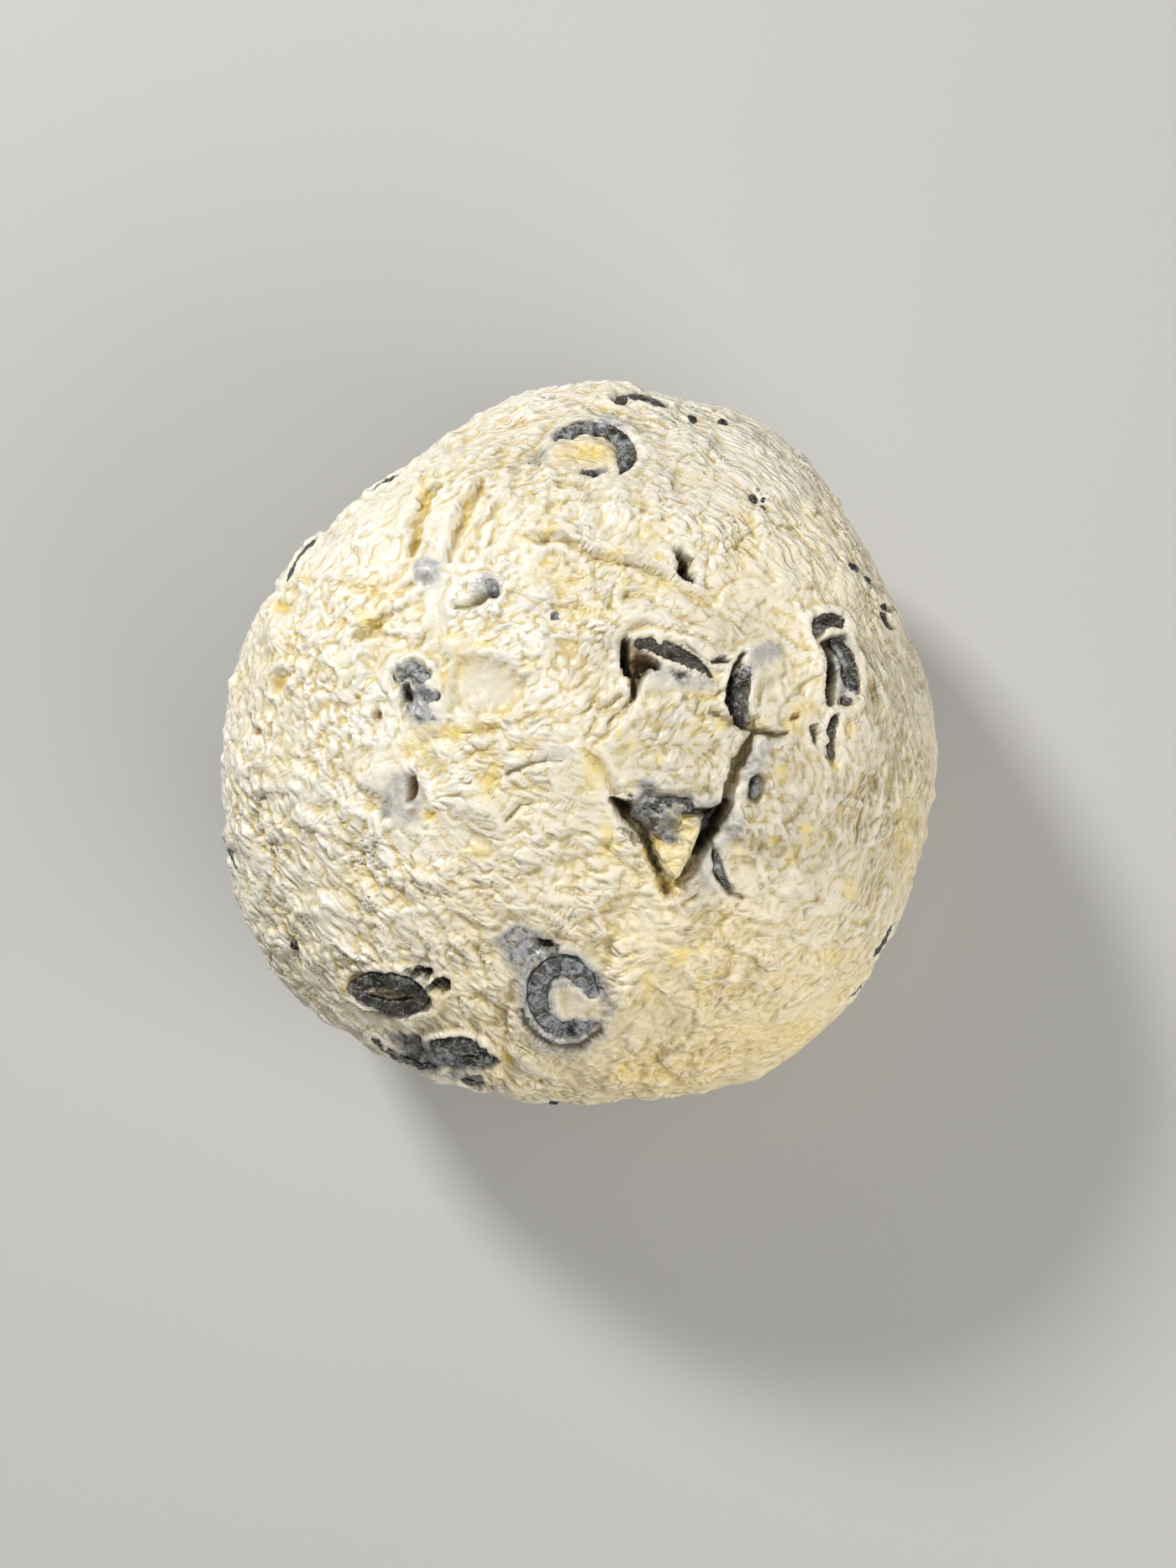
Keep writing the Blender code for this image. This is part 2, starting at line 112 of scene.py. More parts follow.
# Cracks, in px: line, half width in mm at each corner, depth in mm, and how dark its bottom is painted, as
# shade
CRACKS = [
    ([(695, 893), (708, 905), (722, 925), (733, 945)], [0.5, 0.9, 0.9, 0.7], 1.5, 0.0),
    ([(728, 952), (742, 962), (752, 978), (766, 992), (774, 1008), (782, 1030), (789, 1042)],
     [0.3, 1.0, 0.8, 1.0, 0.8, 0.7, 0.3], 3.4, 0.6),
    ([(758, 1003), (752, 994), (740, 986)], [0.6, 0.5, 0.3], 1.6, 0.5),
    ([(786, 1038), (792, 1052), (797, 1068)], [0.8, 1.3, 0.6], 2.2, 0.2),
    ([(868, 956), (856, 971), (847, 987), (838, 1002), (830, 1016)], [0.4, 1.2, 1.5, 1.0, 0.5], 4.8, 1.0),
    ([(838, 1000), (828, 1020), (820, 1035), (808, 1052)], [1.1, 1.2, 1.1, 0.7], 2.1, 0.2),
    ([(862, 958), (868, 938), (880, 908), (890, 888), (900, 872)], [0.5, 1.0, 1.2, 0.7, 0.3], 2.4, 0.15),
    ([(812, 970), (830, 967), (848, 968), (862, 960)], [0.3, 0.6, 0.8, 0.4], 2.6, 1.0),
    ([(744, 762), (746, 778), (749, 800)], [0.5, 0.7, 0.5], 3.6, 1.0),
    ([(757, 828), (744, 846), (728, 856), (722, 872), (702, 892)], [0.3, 0.5, 0.4, 0.6, 0.4], 1.3, 0.1),
    ([(846, 846), (866, 856), (890, 866), (905, 870), (925, 876), (940, 874)], [0.5, 0.9, 0.6, 0.6, 0.6, 0.3],
     1.8, 0.25),
    ([(868, 834), (872, 846), (884, 858), (892, 862)], [0.4, 0.5, 0.6, 0.3], 2.4, 1.0),
    ([(866, 838), (868, 818), (874, 796), (884, 778)], [0.4, 0.45, 0.4, 0.3], 2.4, 1.0),
    ([(848, 788), (858, 786), (868, 788)], [0.4, 0.5, 0.3], 1.6, 0.9),
    ([(970, 866), (972, 876), (970, 885)], [0.5, 0.6, 0.3], 1.8, 0.8),
    ([(906, 872), (915, 874), (924, 872)], [0.3, 0.5, 0.3], 1.4, 0.8),
    ([(601, 921), (622, 912), (650, 905), (668, 906)], [0.3, 0.4, 0.4, 0.2], 1.0, 0.2),
    ([(601, 979), (617, 962), (633, 956)], [0.3, 0.45, 0.2], 0.9, 0.1),
    ([(488, 655), (495, 625), (506, 600), (522, 578)], [0.6, 1.1, 1.1, 0.5], 1.9, 0.0),
    ([(534, 665), (544, 634), (558, 604), (574, 572)], [0.6, 1.1, 1.1, 0.5], 1.7, 0.0),
    ([(425, 758), (440, 746), (462, 727)], [0.7, 1.2, 0.5], 2.0, 0.0),
    ([(808, 658), (816, 668), (812, 682), (826, 688)], [0.6, 0.9, 0.8, 0.5], 2.6, 0.7),
    ([(541, 722), (556, 722), (573, 714), (590, 700)], [0.4, 0.6, 0.6, 0.5], 1.4, 0.2),
    ([(322, 822), (332, 806), (346, 798)], [0.6, 0.9, 0.5], 1.4, 0.0),
    ([(640, 1166), (647, 1154), (658, 1145), (674, 1140), (687, 1142)], [0.4, 0.5, 0.5, 0.5, 0.3], 1.0, 1.0),
    ([(621, 1200), (627, 1218), (642, 1234), (664, 1244), (690, 1243), (706, 1231), (716, 1224)],
     [0.4, 0.6, 0.6, 0.5, 0.6, 0.5, 0.4], 0.6, 0.75),
    ([(412, 1192), (432, 1204), (452, 1210), (474, 1210), (492, 1202)], [0.3, 0.35, 0.4, 0.35, 0.3], 1.6,
     0.9),
    ([(986, 764), (993, 780), (993, 800), (990, 820), (992, 836)], [0.6, 0.8, 0.7, 0.6, 0.5], 3.4, 1.0),
    ([(848, 1002), (852, 1022), (859, 1046), (872, 1066), (886, 1069)], [0.3, 0.35, 0.35, 0.35, 0.2], 1.2,
     0.7),
    ([(694, 566), (708, 567), (722, 562)], [0.3, 0.5, 0.3], 1.2, 0.7),
    ([(762, 472), (778, 476), (795, 484)], [0.3, 0.5, 0.3], 1.2, 0.8),
    ([(560, 1130), (575, 1150), (580, 1175)], [0.3, 0.4, 0.3], 0.7, 0.0),
    ([(545, 1190), (552, 1215), (570, 1240)], [0.3, 0.4, 0.3], 0.8, 0.0),
]
LIP_HEIGHT, LIP_REACH = 0.4, 1.0

# How far below the heights round it a place must lie to be wholly a valley or a trough, in mm; valleys and
# troughs are painted darker as shade, ridges paler as highlight
VALLEY_DEPTH, TROUGH_DEPTH = 0.10, 0.45

# Shapes, in px: corners of an outline, height in mm, edge in px, and how much each colour shows
SHAPES = [
    # the island, the mass right of the crack and the wedge of cheese in it
    ([(700, 895), (712, 868), (740, 850), (765, 832), (800, 830), (840, 838), (868, 852), (890, 872),
      (886, 888), (870, 920), (858, 955), (838, 964), (800, 958), (770, 942), (748, 950), (730, 938),
      (712, 915)], 1.2, 9, {}),
    ([(895, 872), (930, 874), (965, 872), (985, 905), (990, 950), (975, 985), (950, 1004), (920, 1000),
      (885, 1002), (868, 985), (872, 960), (885, 930)], 0.9, 9, {}),
    ([(806, 976), (830, 973), (838, 984), (828, 1008), (820, 1030), (806, 1050), (797, 1050), (786, 1030),
      (785, 1010), (797, 1002), (812, 1005)], 1.6, 5, {"oil": 0.45}),
    ([(818, 972), (832, 976), (830, 996), (816, 994)], 0.0, 5, {"oil": 0.6}),
    ([(760, 985), (776, 990), (768, 1006), (756, 1000)], 1.2, 4, {"oil": 0.5}),
    # pits beside the slices, most painted near black as shade
    ([(728, 950), (745, 956), (757, 946), (768, 944), (764, 956), (752, 966), (740, 966)], -3.0, 3,
     {"dark": 0.75}),
    ([(757, 768), (768, 775), (780, 785), (783, 795), (774, 792), (772, 800), (765, 806), (762, 814),
      (757, 829), (753, 826), (752, 810), (750, 800), (756, 795), (752, 785)], -3.4, 3, {"pit": 1.0}),
    ([(741, 764), (748, 770), (751, 801), (745, 799), (740, 784)], -3.2, 2, {"dark": 1.0}),
    ([(478, 1154), (495, 1156), (512, 1157), (509, 1169), (500, 1166), (488, 1163)], -2.6, 2, {"dark": 1.0}),
    ([(508, 1173), (522, 1168), (529, 1165), (534, 1182), (528, 1186), (519, 1180), (508, 1178)], -2.6, 2,
     {"dark": 1.0}),
    ([(633, 1121), (645, 1120), (655, 1126), (667, 1129), (665, 1135), (650, 1131), (640, 1126)], -2.6, 2,
     {"dark": 1.0}),
    ([(553, 1249), (562, 1246), (575, 1250), (572, 1256), (558, 1256)], -2.0, 2, {"dark": 1.0}),
    ([(533, 1262), (548, 1261), (552, 1267), (538, 1269)], -2.0, 2, {"dark": 0.9}),
    ([(424, 1184), (450, 1177), (478, 1178), (494, 1184), (480, 1193), (450, 1194), (430, 1190)], -1.6, 2,
     {"pit": 0.9}),
    ([(456, 1230), (478, 1238), (500, 1240), (530, 1236), (556, 1240), (560, 1252), (590, 1256), (600, 1263),
      (575, 1270), (520, 1269), (497, 1268), (478, 1252)], -0.3, 3, {"film": 1.0, "dark": 0.4}),
    ([(553, 1277), (562, 1275), (576, 1284), (579, 1292), (566, 1293), (552, 1288)], -0.2, 2,
     {"film": 0.9, "dark": 0.5}),
    ([(479, 814), (487, 813), (488, 833), (481, 833)], -2.2, 2, {"dark": 1.0}),
    ([(988, 758), (1000, 754), (1008, 762), (998, 770), (990, 768)], -1.6, 2, {"dark": 0.9}),
    ([(803, 652), (812, 660), (824, 668), (818, 676), (812, 684), (828, 692), (810, 690), (804, 680),
      (812, 672), (804, 664)], -2.0, 2, {"pit": 1.0}),
    ([(484, 928), (494, 924), (497, 940), (492, 956), (484, 954), (488, 940)], -1.2, 2, {"oil": 0.5}),
    ([(790, 955), (799, 954), (800, 961), (792, 961)], -1.6, 2, {"dark": 1.0}),
    ([(815, 950), (826, 950), (824, 958), (816, 957)], -1.6, 2, {"dark": 0.9}),
    ([(762, 955), (772, 954), (774, 962), (765, 964)], -1.4, 2, {"dark": 0.9}),
    ([(798, 798), (812, 799), (822, 806), (806, 808)], -1.0, 2, {"dark": 0.85}),
    ([(779, 788), (788, 789), (787, 797), (779, 796)], -1.0, 2, {"dark": 0.8}),
    ([(991, 850), (998, 851), (997, 860), (994, 864), (992, 880), (989, 893), (984, 905), (981, 903),
      (987, 890), (990, 872), (988, 858)], -1.4, 2, {"dark": 0.9}),
    # smears of grey film
    ([(588, 1116), (616, 1099), (640, 1108), (656, 1124), (690, 1140), (712, 1156), (724, 1180), (716, 1205),
      (700, 1196), (690, 1176), (668, 1168), (648, 1176), (636, 1196), (622, 1196), (624, 1172), (630, 1156),
      (606, 1150)], 0.25, 5, {"film": 0.95}),
    ([(756, 930), (775, 925), (790, 948), (800, 957), (830, 952), (852, 950), (860, 957), (845, 968),
      (820, 965), (800, 978), (812, 1006), (796, 1000), (776, 990), (752, 976), (746, 962), (762, 952)], 0.0,
     4, {"film": 0.85}),
    ([(744, 964), (756, 958), (770, 966), (790, 984), (806, 1000), (798, 1006), (780, 992), (758, 984)], 0.5,
     3, {"film": 1.0, "dark": 0.35}),
    ([(776, 966), (800, 962), (812, 972), (800, 984), (786, 978)], 0.6, 3, {"film": 0.9}),
    # painted shade in the gap under the edge of the island's slice
    ([(826, 966), (846, 962), (854, 968), (842, 976), (830, 974)], 0.4, 3, {"dark": 0.8}),
    ([(775, 790), (800, 794), (826, 804), (850, 806), (858, 818), (836, 820), (812, 818), (788, 812),
      (772, 802)], 0.0, 5, {"film": 0.7}),
    ([(892, 772), (912, 764), (936, 768), (930, 780), (908, 790), (896, 800), (888, 792)], 0.15, 5,
     {"film": 0.7}),
    ([(996, 772), (1008, 776), (1010, 800), (1008, 828), (998, 834), (996, 812)], 0.15, 4, {"film": 0.8}),
    ([(850, 972), (868, 960), (884, 976), (876, 1000), (864, 1012), (852, 1012), (840, 1030), (852, 1060),
      (842, 1062), (832, 1040), (830, 1016), (838, 996)], 0.25, 4, {"film": 0.5}),
    ([(888, 892), (900, 880), (918, 880), (912, 900), (898, 920), (896, 956), (886, 948), (884, 920)], 0.0, 5,
     {"film": 0.55}),
    ([(470, 792), (488, 783), (508, 792), (500, 812), (512, 836), (524, 860), (500, 864), (482, 852),
      (476, 826)], 0.2, 4, {"film": 0.92}),
    ([(462, 925), (480, 916), (500, 928), (506, 950), (500, 976), (482, 984), (468, 972), (456, 956)], 0.1, 5,
     {"film": 0.55}),
    ([(560, 704), (566, 688), (582, 682), (596, 692), (590, 706), (574, 712)], 0.1, 4, {"film": 0.6}),
    ([(492, 668), (506, 660), (524, 670), (524, 688), (508, 698), (492, 690)], 0.0, 4, {"film": 0.75}),
    ([(706, 498), (726, 494), (742, 510), (736, 524), (718, 520)], 0.2, 4, {"film": 0.7}),
    ([(625, 540), (652, 534), (656, 548), (636, 556)], 0.0, 4, {"film": 0.6}),
    ([(520, 1272), (560, 1274), (582, 1290), (556, 1292), (534, 1284)], 0.0, 4, {"film": 0.6}),
    ([(449, 966), (456, 951), (467, 956), (464, 973), (454, 976)], -0.4, 3, {"film": 0.8}),
    ([(645, 895), (665, 888), (682, 894), (676, 906), (652, 906)], 0.0, 4, {"film": 0.35}),
    ([(606, 1106), (650, 1116), (700, 1136), (724, 1162), (732, 1200), (718, 1232), (690, 1252), (660, 1250),
      (634, 1238), (618, 1210), (614, 1170), (598, 1130)], 0.0, 15, {"film": 0.75}),
    ([(656, 1190), (662, 1180), (675, 1175), (690, 1180), (712, 1180), (718, 1206), (704, 1212), (685, 1210),
      (666, 1209)], 0.0, 6, {"film": -0.85}),
    # plates and smooth patches
    ([(540, 790), (560, 781), (590, 782), (612, 795), (623, 820), (612, 843), (590, 853), (565, 850),
      (545, 838), (535, 815)], -0.7, 5, {}),
    ([(733, 716), (760, 710), (778, 722), (770, 738), (742, 742)], 0.5, 3, {}),
    ([(772, 732), (792, 724), (800, 744), (782, 756)], 0.4, 3, {}),
    ([(524, 760), (540, 754), (554, 764), (550, 780), (530, 782)], 0.4, 3, {}),
    ([(636, 752), (652, 746), (662, 764), (656, 792), (640, 796), (644, 774)], 0.5, 3, {}),
    ([(478, 874), (500, 866), (518, 884), (512, 908), (490, 912), (476, 894)], 0.35, 3, {"oil": 0.3}),
    ([(548, 1016), (566, 1004), (582, 1012), (572, 1026)], 0.25, 3, {"oil": 0.5}),
]
SHAPE_RAGGED = 2.5

# Cheese spread over the slices, in px: corners of an outline
COVERS = [
    [(652, 1188), (660, 1177), (675, 1171), (692, 1176), (702, 1188), (726, 1176), (728, 1214), (706, 1216),
     (688, 1213), (665, 1213), (653, 1204)],
    [(660, 528), (700, 526), (716, 528), (730, 540), (738, 556), (732, 584), (700, 588), (664, 578),
     (648, 550), (648, 522)],
    [(404, 600), (440, 580), (450, 620), (420, 650), (404, 630)],
    [(876, 778), (900, 760), (940, 760), (930, 800), (900, 850), (892, 840), (894, 800)],
    [(766, 773), (790, 782), (820, 795), (850, 808), (860, 830), (790, 834), (776, 806)],
    [(1004, 730), (1024, 748), (1020, 762), (1002, 752)],
    [(786, 958), (812, 956), (822, 970), (812, 990), (790, 980)],
    [(470, 836), (500, 838), (530, 830), (530, 880), (470, 880)],
]

# Ledges, in px: line, height above it, height below it, and how far each side reaches, in mm
LEDGES = [
    ([(640, 638), (676, 644), (692, 653), (719, 662), (742, 670), (761, 671), (784, 680), (795, 688)], 1.8,
     -1.5, 2.6, 0.9),
    ([(560, 566), (600, 570), (640, 574), (690, 578), (735, 572)], 0.2, -0.4, 2.0, 1.0),
    ([(660, 600), (700, 594), (750, 596), (790, 604)], 0.4, -0.5, 2.4, 1.0),
    ([(628, 852), (655, 846), (690, 850), (700, 840)], 0.3, -0.4, 2.0, 1.0),
    ([(520, 876), (560, 868), (600, 862), (628, 852)], 0.35, -0.6, 2.0, 1.0),
    ([(624, 774), (628, 800), (622, 830), (606, 850)], 0.5, -0.2, 2.0, 1.5),
    ([(700, 868), (716, 840), (735, 826), (752, 830)], 0.5, -0.5, 2.4, 1.0),
    ([(742, 752), (760, 740), (800, 748), (840, 762)], 0.5, -0.3, 2.4, 1.0),
    ([(500, 1060), (530, 1110), (560, 1160), (600, 1215)], 0.35, -0.35, 3.0, 3.0),
    ([(350, 980), (420, 1010), (480, 1060), (500, 1110)], 0.3, -0.3, 3.0, 3.0),
    ([(690, 1096), (730, 1070), (770, 1066)], 0.3, -0.3, 2.5, 1.5),
    ([(800, 690), (840, 712), (876, 740)], 0.5, -0.4, 2.0, 1.2),
    ([(600, 700), (640, 716), (690, 720), (730, 738)], 0.5, -0.4, 2.0, 1.2),
    ([(330, 700), (400, 690), (450, 700), (478, 730)], 0.4, -0.3, 2.5, 1.5),
    ([(700, 742), (716, 748), (724, 772)], 0.5, -0.4, 1.5, 1.0),
    ([(350, 900), (400, 912), (440, 940)], 0.4, -0.4, 2.0, 1.5),
    ([(880, 640), (910, 620), (960, 622), (990, 650)], 0.4, -0.3, 2.0, 1.2),
    ([(640, 1000), (700, 990), (760, 1040)], 0.4, -0.3, 2.0, 1.2),
    ([(860, 1086), (920, 1100), (990, 1090)], 0.4, -0.3, 2.0, 1.2),
]

# Mounds and pits, in px: place, half sizes, height in mm
MOUNDS = [
    ((507, 680), (22, 20), 1.1),
    ((507, 690), (5, 5), -1.1),
    ((580, 815), (46, 38), -0.9),
    ((518, 740), (11, 36), -0.7),
    ((540, 770), (16, 11), 0.3),
    ((448, 852), (5, 6), -2.0),
    ((489, 940), (4, 14), -1.8),
    ((513, 971), (6, 5), -1.2),
    ((951, 853), (5, 4), -1.6),
    ((333, 722), (7, 7), -1.2),
    ((300, 870), (4, 5), -1.0),
    ((580, 862), (12, 4), -0.5),
    ((640, 770), (14, 26), 0.5),
    ((718, 754), (8, 18), 0.5),
    ((800, 900), (56, 50), 0.8),
    ((820, 950), (40, 26), 0.6),
    ((930, 930), (46, 40), 0.5),
    ((478, 832), (6, 12), -1.2),
    ((602, 1265), (10, 9), -1.4),
    ((560, 1100), (40, 30), 0.3),
    ((330, 770), (14, 40), 0.8),
    ((390, 800), (60, 50), 0.3),
    ((1070, 985), (12, 40), 0.4),
    ((700, 1000), (46, 30), 0.35),
    ((690, 530), (18, 10), 0.8),
    ((735, 512), (14, 12), 0.9),
]

# Places that are smeared smooth, in px: place, half sizes, how much of the relief goes
SMOOTH = [
    ((580, 815), (46, 38), 0.85),
    ((518, 730), (13, 42), 0.9),
    ((507, 682), (18, 16), 0.8),
    ((538, 769), (18, 12), 0.8),
    ((763, 733), (34, 22), 0.6),
    ((800, 790), (60, 12), 0.3),
    ((930, 676), (44, 50), 0.45),
    ((620, 1130), (34, 34), 0.75),
    ((672, 1190), (48, 56), 0.8),
    ((478, 950), (28, 34), 0.7),
    ((845, 1030), (16, 48), 0.8),
    ((480, 1205), (60, 20), 0.3),
    ((690, 920), (60, 24), 0.3),
    ((655, 899), (22, 9), 0.8),
    ((905, 780), (30, 14), 0.7),
    ((1000, 800), (20, 44), 0.8),
    ((830, 955), (50, 14), 0.3),
    ((800, 812), (46, 16), 0.4),
    ((520, 1170), (24, 24), 0.2),
]

# Relief by region, in px: place, half sizes, and kind, size in mm, height in mm, lie in degrees, stretch
REGIONS = [
    ((470, 620), (120, 110), "fold", 3.2, 0.8, 62, 1.6, 0),
    ((330, 860), (90, 170), "fold", 1.9, 1.2, -62, 1.5, 1),
    ((400, 770), (90, 80), "fold", 2.5, 0.9, 35, 1.6, 5),
    ((400, 1060), (130, 100), "fold", 1.6, 1.1, -40, 2.3, 2),
    ((620, 1080), (130, 70), "fold", 1.9, 0.7, -18, 1.5, 3),
    ((560, 1200), (90, 80), "fold", 1.8, 0.9, -52, 2.2, 2),
    ((850, 1170), (160, 110), "fold", 1.7, 0.5, 18, 1.6, 6),
    ((1050, 920), (60, 220), "round", 1.35, 0.8, 0, 2.2, 4),
    ((880, 560), (130, 80), "round", 1.3, 0.7, 0, 2.4, 4),
    ((660, 530), (140, 50), "round", 1.7, 0.9, 0, 1.5, 4),
    ((700, 640), (120, 50), "fold", 1.5, 0.8, 72, 2.0, 0),
    ((660, 720), (110, 50), "fold", 1.5, 0.75, 20, 1.4, 6),
    ((840, 720), (70, 50), "fold", 2.2, 0.7, -25, 1.5, 3),
    ((670, 800), (60, 60), "fold", 1.8, 0.9, 50, 1.6, 5),
    ((795, 880), (70, 70), "fold", 1.6, 1.2, 48, 2.0, 5),
    ((930, 960), (80, 110), "cell", 2.1, 0.9, 0, 1.0, 7),
    ((940, 800), (60, 70), "cell", 1.7, 0.7, 60, 1.3, 7),
    ((620, 960), (130, 80), "fold", 1.7, 0.95, -14, 1.9, 3),
    ((460, 900), (70, 70), "fold", 1.7, 0.8, -70, 1.6, 1),
]

# Lie of the finest folds: degrees in plan, or None to run round the ball; stretch; size in mm
LAYS = [
    (62, 1.6, 1.25), (-62, 1.5, 1.1), (-42, 2.2, 0.9), (-16, 1.8, 1.0), (None, 2.2, 0.85), (40, 1.6, 1.1),
    (18, 1.6, 0.95), (100, 1.1, 1.3),
]
ROUND_LAY = 4
REGION_FLOOR = 0.02

# Colour places on the cheese, in px: place, half sizes, strength
FILMS = [
    ((618, 1130), (22, 24), 0.95),
    ((640, 1160), (18, 30), 0.8),
    ((690, 1170), (20, 26), 0.6),
    ((670, 1238), (40, 8), 0.5),
    ((508, 676), (16, 15), 0.8),
    ((490, 800), (20, 14), 0.6),
    ((500, 845), (20, 16), 0.8),
    ((482, 955), (18, 26), 0.6),
    ((655, 899), (20, 8), 0.35),
    ((905, 780), (20, 12), 0.7),
    ((900, 800), (14, 20), 0.4),
    ((1005, 790), (14, 30), 0.7),
    ((1003, 825), (8, 14), 0.6),
    ((840, 1020), (14, 46), 0.45),
    ((862, 980), (16, 34), 0.5),
    ((893, 925), (8, 30), 0.6),
    ((800, 950), (40, 12), 0.7),
    ((780, 980), (24, 14), 0.5),
    ((575, 700), (18, 14), 0.6),
    ((632, 723), (9, 5), 0.7),
    ((722, 508), (16, 12), 0.5),
    ((640, 545), (16, 7), 0.5),
    ((800, 815), (40, 12), 0.5),
    ((770, 1090), (10, 8), 0.4),
    ((470, 1210), (50, 8), 0.35),
    ((395, 640), (10, 14), 0.4),
    ((530, 1250), (50, 10), 0.5),
    ((912, 880), (20, 6), 0.4),
]
OILS = [
    ((505, 600), (5, 24), 1.0), ((492, 645), (4, 16), 0.8), ((575, 590), (4, 20), 0.7),
    ((538, 758), (18, 6), 0.6), ((528, 806), (5, 14), 0.7), ((540, 872), (24, 8), 0.8),
    ((600, 850), (10, 6), 0.6), ((632, 792), (4, 16), 0.5), ((446, 742), (12, 6), 1.0),
    ((588, 920), (6, 16), 0.8), ((858, 862), (10, 6), 0.9), ((830, 858), (6, 8), 0.6),
    ((722, 990), (6, 16), 0.8), ((735, 870), (4, 12), 0.7), ((716, 880), (5, 10), 0.7),
    ((905, 862), (10, 5), 0.6), ((945, 862), (8, 10), 0.6), ((1008, 870), (5, 8), 0.8),
    ((1010, 1052), (8, 5), 0.8), ((990, 912), (6, 7), 0.8), ((820, 868), (5, 8), 0.5),
    ((740, 640), (4, 20), 0.4), ((735, 662), (24, 5), 0.6), ((780, 668), (12, 6), 0.6),
    ((655, 636), (12, 4), 0.7), ((812, 1134), (12, 6), 0.9), ((800, 1146), (6, 5), 0.9),
    ((836, 1128), (5, 6), 0.7), ((768, 1165), (3, 10), 0.8), ((786, 1196), (4, 8), 0.6),
    ((648, 668), (5, 5), 0.7), ((668, 706), (7, 8), 0.6), ((690, 690), (14, 5), 0.5),
    ((440, 700), (6, 10), 0.5), ((404, 740), (6, 6), 0.5), ((506, 596), (7, 22), 0.9),
    ((494, 636), (5, 18), 0.7), ((556, 612), (5, 26), 0.8), ((443, 741), (18, 8), 1.0),
    ((700, 545), (34, 14), 0.75), ((545, 780), (8, 26), 0.5), ((575, 766), (16, 5), 0.7),
    ((496, 892), (18, 16), 0.6), ((548, 868), (30, 7), 0.7), ((580, 930), (8, 20), 0.7),
    ((530, 912), (3, 9), 0.9), ((571, 1015), (9, 6), 0.8), ((332, 721), (8, 8), 0.9),
    ((328, 812), (8, 10), 0.8), ((854, 864), (8, 9), 0.7), ((955, 843), (12, 9), 0.6),
    ((927, 918), (7, 6), 0.9), ((956, 985), (9, 7), 0.8), ((919, 998), (6, 6), 0.9),
    ((782, 903), (7, 6), 0.6), ((750, 888), (5, 10), 0.5), ((512, 972), (8, 6), 1.0),
    ((286, 887), (4, 5), 0.6), ((420, 973), (3, 5), 0.8), ((439, 964), (3, 4), 0.7),
    ((416, 1082), (4, 4), 0.8), ((602, 1265), (10, 9), 0.9), ((411, 1176), (4, 8), 0.9),
    ((810, 1140), (8, 5), 0.8), ((773, 1172), (4, 22), 0.6), ((830, 1170), (5, 7), 0.6),
    ((742, 1270), (4, 14), 0.7), ((1012, 1064), (9, 7), 0.8), ((942, 1020), (8, 7), 0.7),
    ((797, 1055), (14, 12), 1.0), ((726, 1010), (9, 14), 0.7), ((742, 688), (3, 18), 0.7),
    ((700, 730), (30, 10), 0.35), ((780, 700), (20, 10), 0.5), ((668, 690), (30, 12), 0.3),
    ((816, 970), (14, 12), 0.8), ((775, 1022), (10, 22), 0.6), ((706, 915), (12, 26), 0.6),
    ((960, 1000), (8, 8), 0.4), ((880, 1015), (8, 8), 0.4), ((990, 1140), (10, 8), 0.4),
    ((660, 850), (30, 6), 0.3), ((500, 1030), (8, 6), 0.4), ((770, 640), (20, 20), 0.3),
    ((510, 865), (10, 6), 0.6), ((620, 640), (10, 10), 0.3), ((1080, 990), (20, 60), 0.35),
    ((940, 1230), (60, 16), 0.35), ((760, 1280), (90, 14), 0.3), ((870, 1100), (40, 26), 0.25),
    ((520, 1190), (20, 24), 0.3),
]
BROWNS = [
    ((448, 852), (5, 7), 1.0), ((489, 940), (4, 15), 1.0), ((490, 966), (7, 4), 0.7),
    ((580, 869), (14, 3), 0.9), ((951, 853), (5, 4), 1.0), ((914, 874), (5, 4), 0.8),
    ((973, 611), (4, 3), 0.9), ((969, 698), (4, 4), 0.8), ((300, 870), (4, 5), 1.0),
    ((310, 938), (2, 2), 1.0), ((812, 672), (9, 10), 0.9), ((797, 1062), (6, 9), 0.8),
    ((970, 1068), (5, 7), 0.8), ((1088, 914), (3, 4), 0.9), ((1048, 860), (5, 2), 0.8),
    ((1040, 862), (2, 3), 0.8), ((605, 1055), (2, 2), 0.8), ((618, 990), (2, 2), 0.7),
    ((416, 1030), (3, 4), 0.7), ((848, 1222), (3, 3), 0.6), ((700, 592), (4, 3), 0.8),
    ((765, 608), (4, 3), 0.8), ((610, 562), (8, 6), 0.6), ((570, 860), (3, 2), 0.6),
    ((330, 850), (3, 3), 0.5), ((570, 900), (3, 3), 0.8), ((822, 1274), (4, 3), 0.6),
    ((1040, 880), (5, 5), 0.5), ((757, 800), (8, 24), 0.9), ((884, 890), (6, 16), 0.6),
]
# Painted shade: places painted darker and greyer
PAINTED_SHADE_PLACES = [
    ((795, 890), (80, 70), 1.0), ((930, 950), (95, 110), 1.0), ((1060, 930), (70, 230), 0.9),
    ((870, 760), (60, 40), 0.6), ((840, 1040), (40, 60), 0.8), ((680, 940), (60, 50), 0.5),
    ((720, 790), (50, 50), 0.5), ((560, 820), (50, 50), 0.4), ((690, 545), (190, 60), 0.4),
    ((700, 690), (120, 70), 0.35), ((620, 1000), (110, 70), 0.25),
]
# Pores, their insides painted darker as shade
PORES = [
    ((960, 600), (60, 50), 1.0), ((1000, 680), (40, 50), 0.9), ((900, 560), (60, 30), 0.8),
    ((640, 560), (50, 20), 0.6), ((500, 720), (60, 40), 0.5), ((940, 930), (70, 80), 0.6),
    ((1040, 860), (40, 90), 0.6), ((900, 1060), (90, 40), 0.5), ((700, 700), (60, 30), 0.5),
    ((330, 900), (50, 80), 0.4), ((760, 1180), (60, 40), 0.5), ((620, 960), (60, 40), 0.5),
]

# Olive slices: as in the solids
THICK = 3.0
RING = (0, 360)

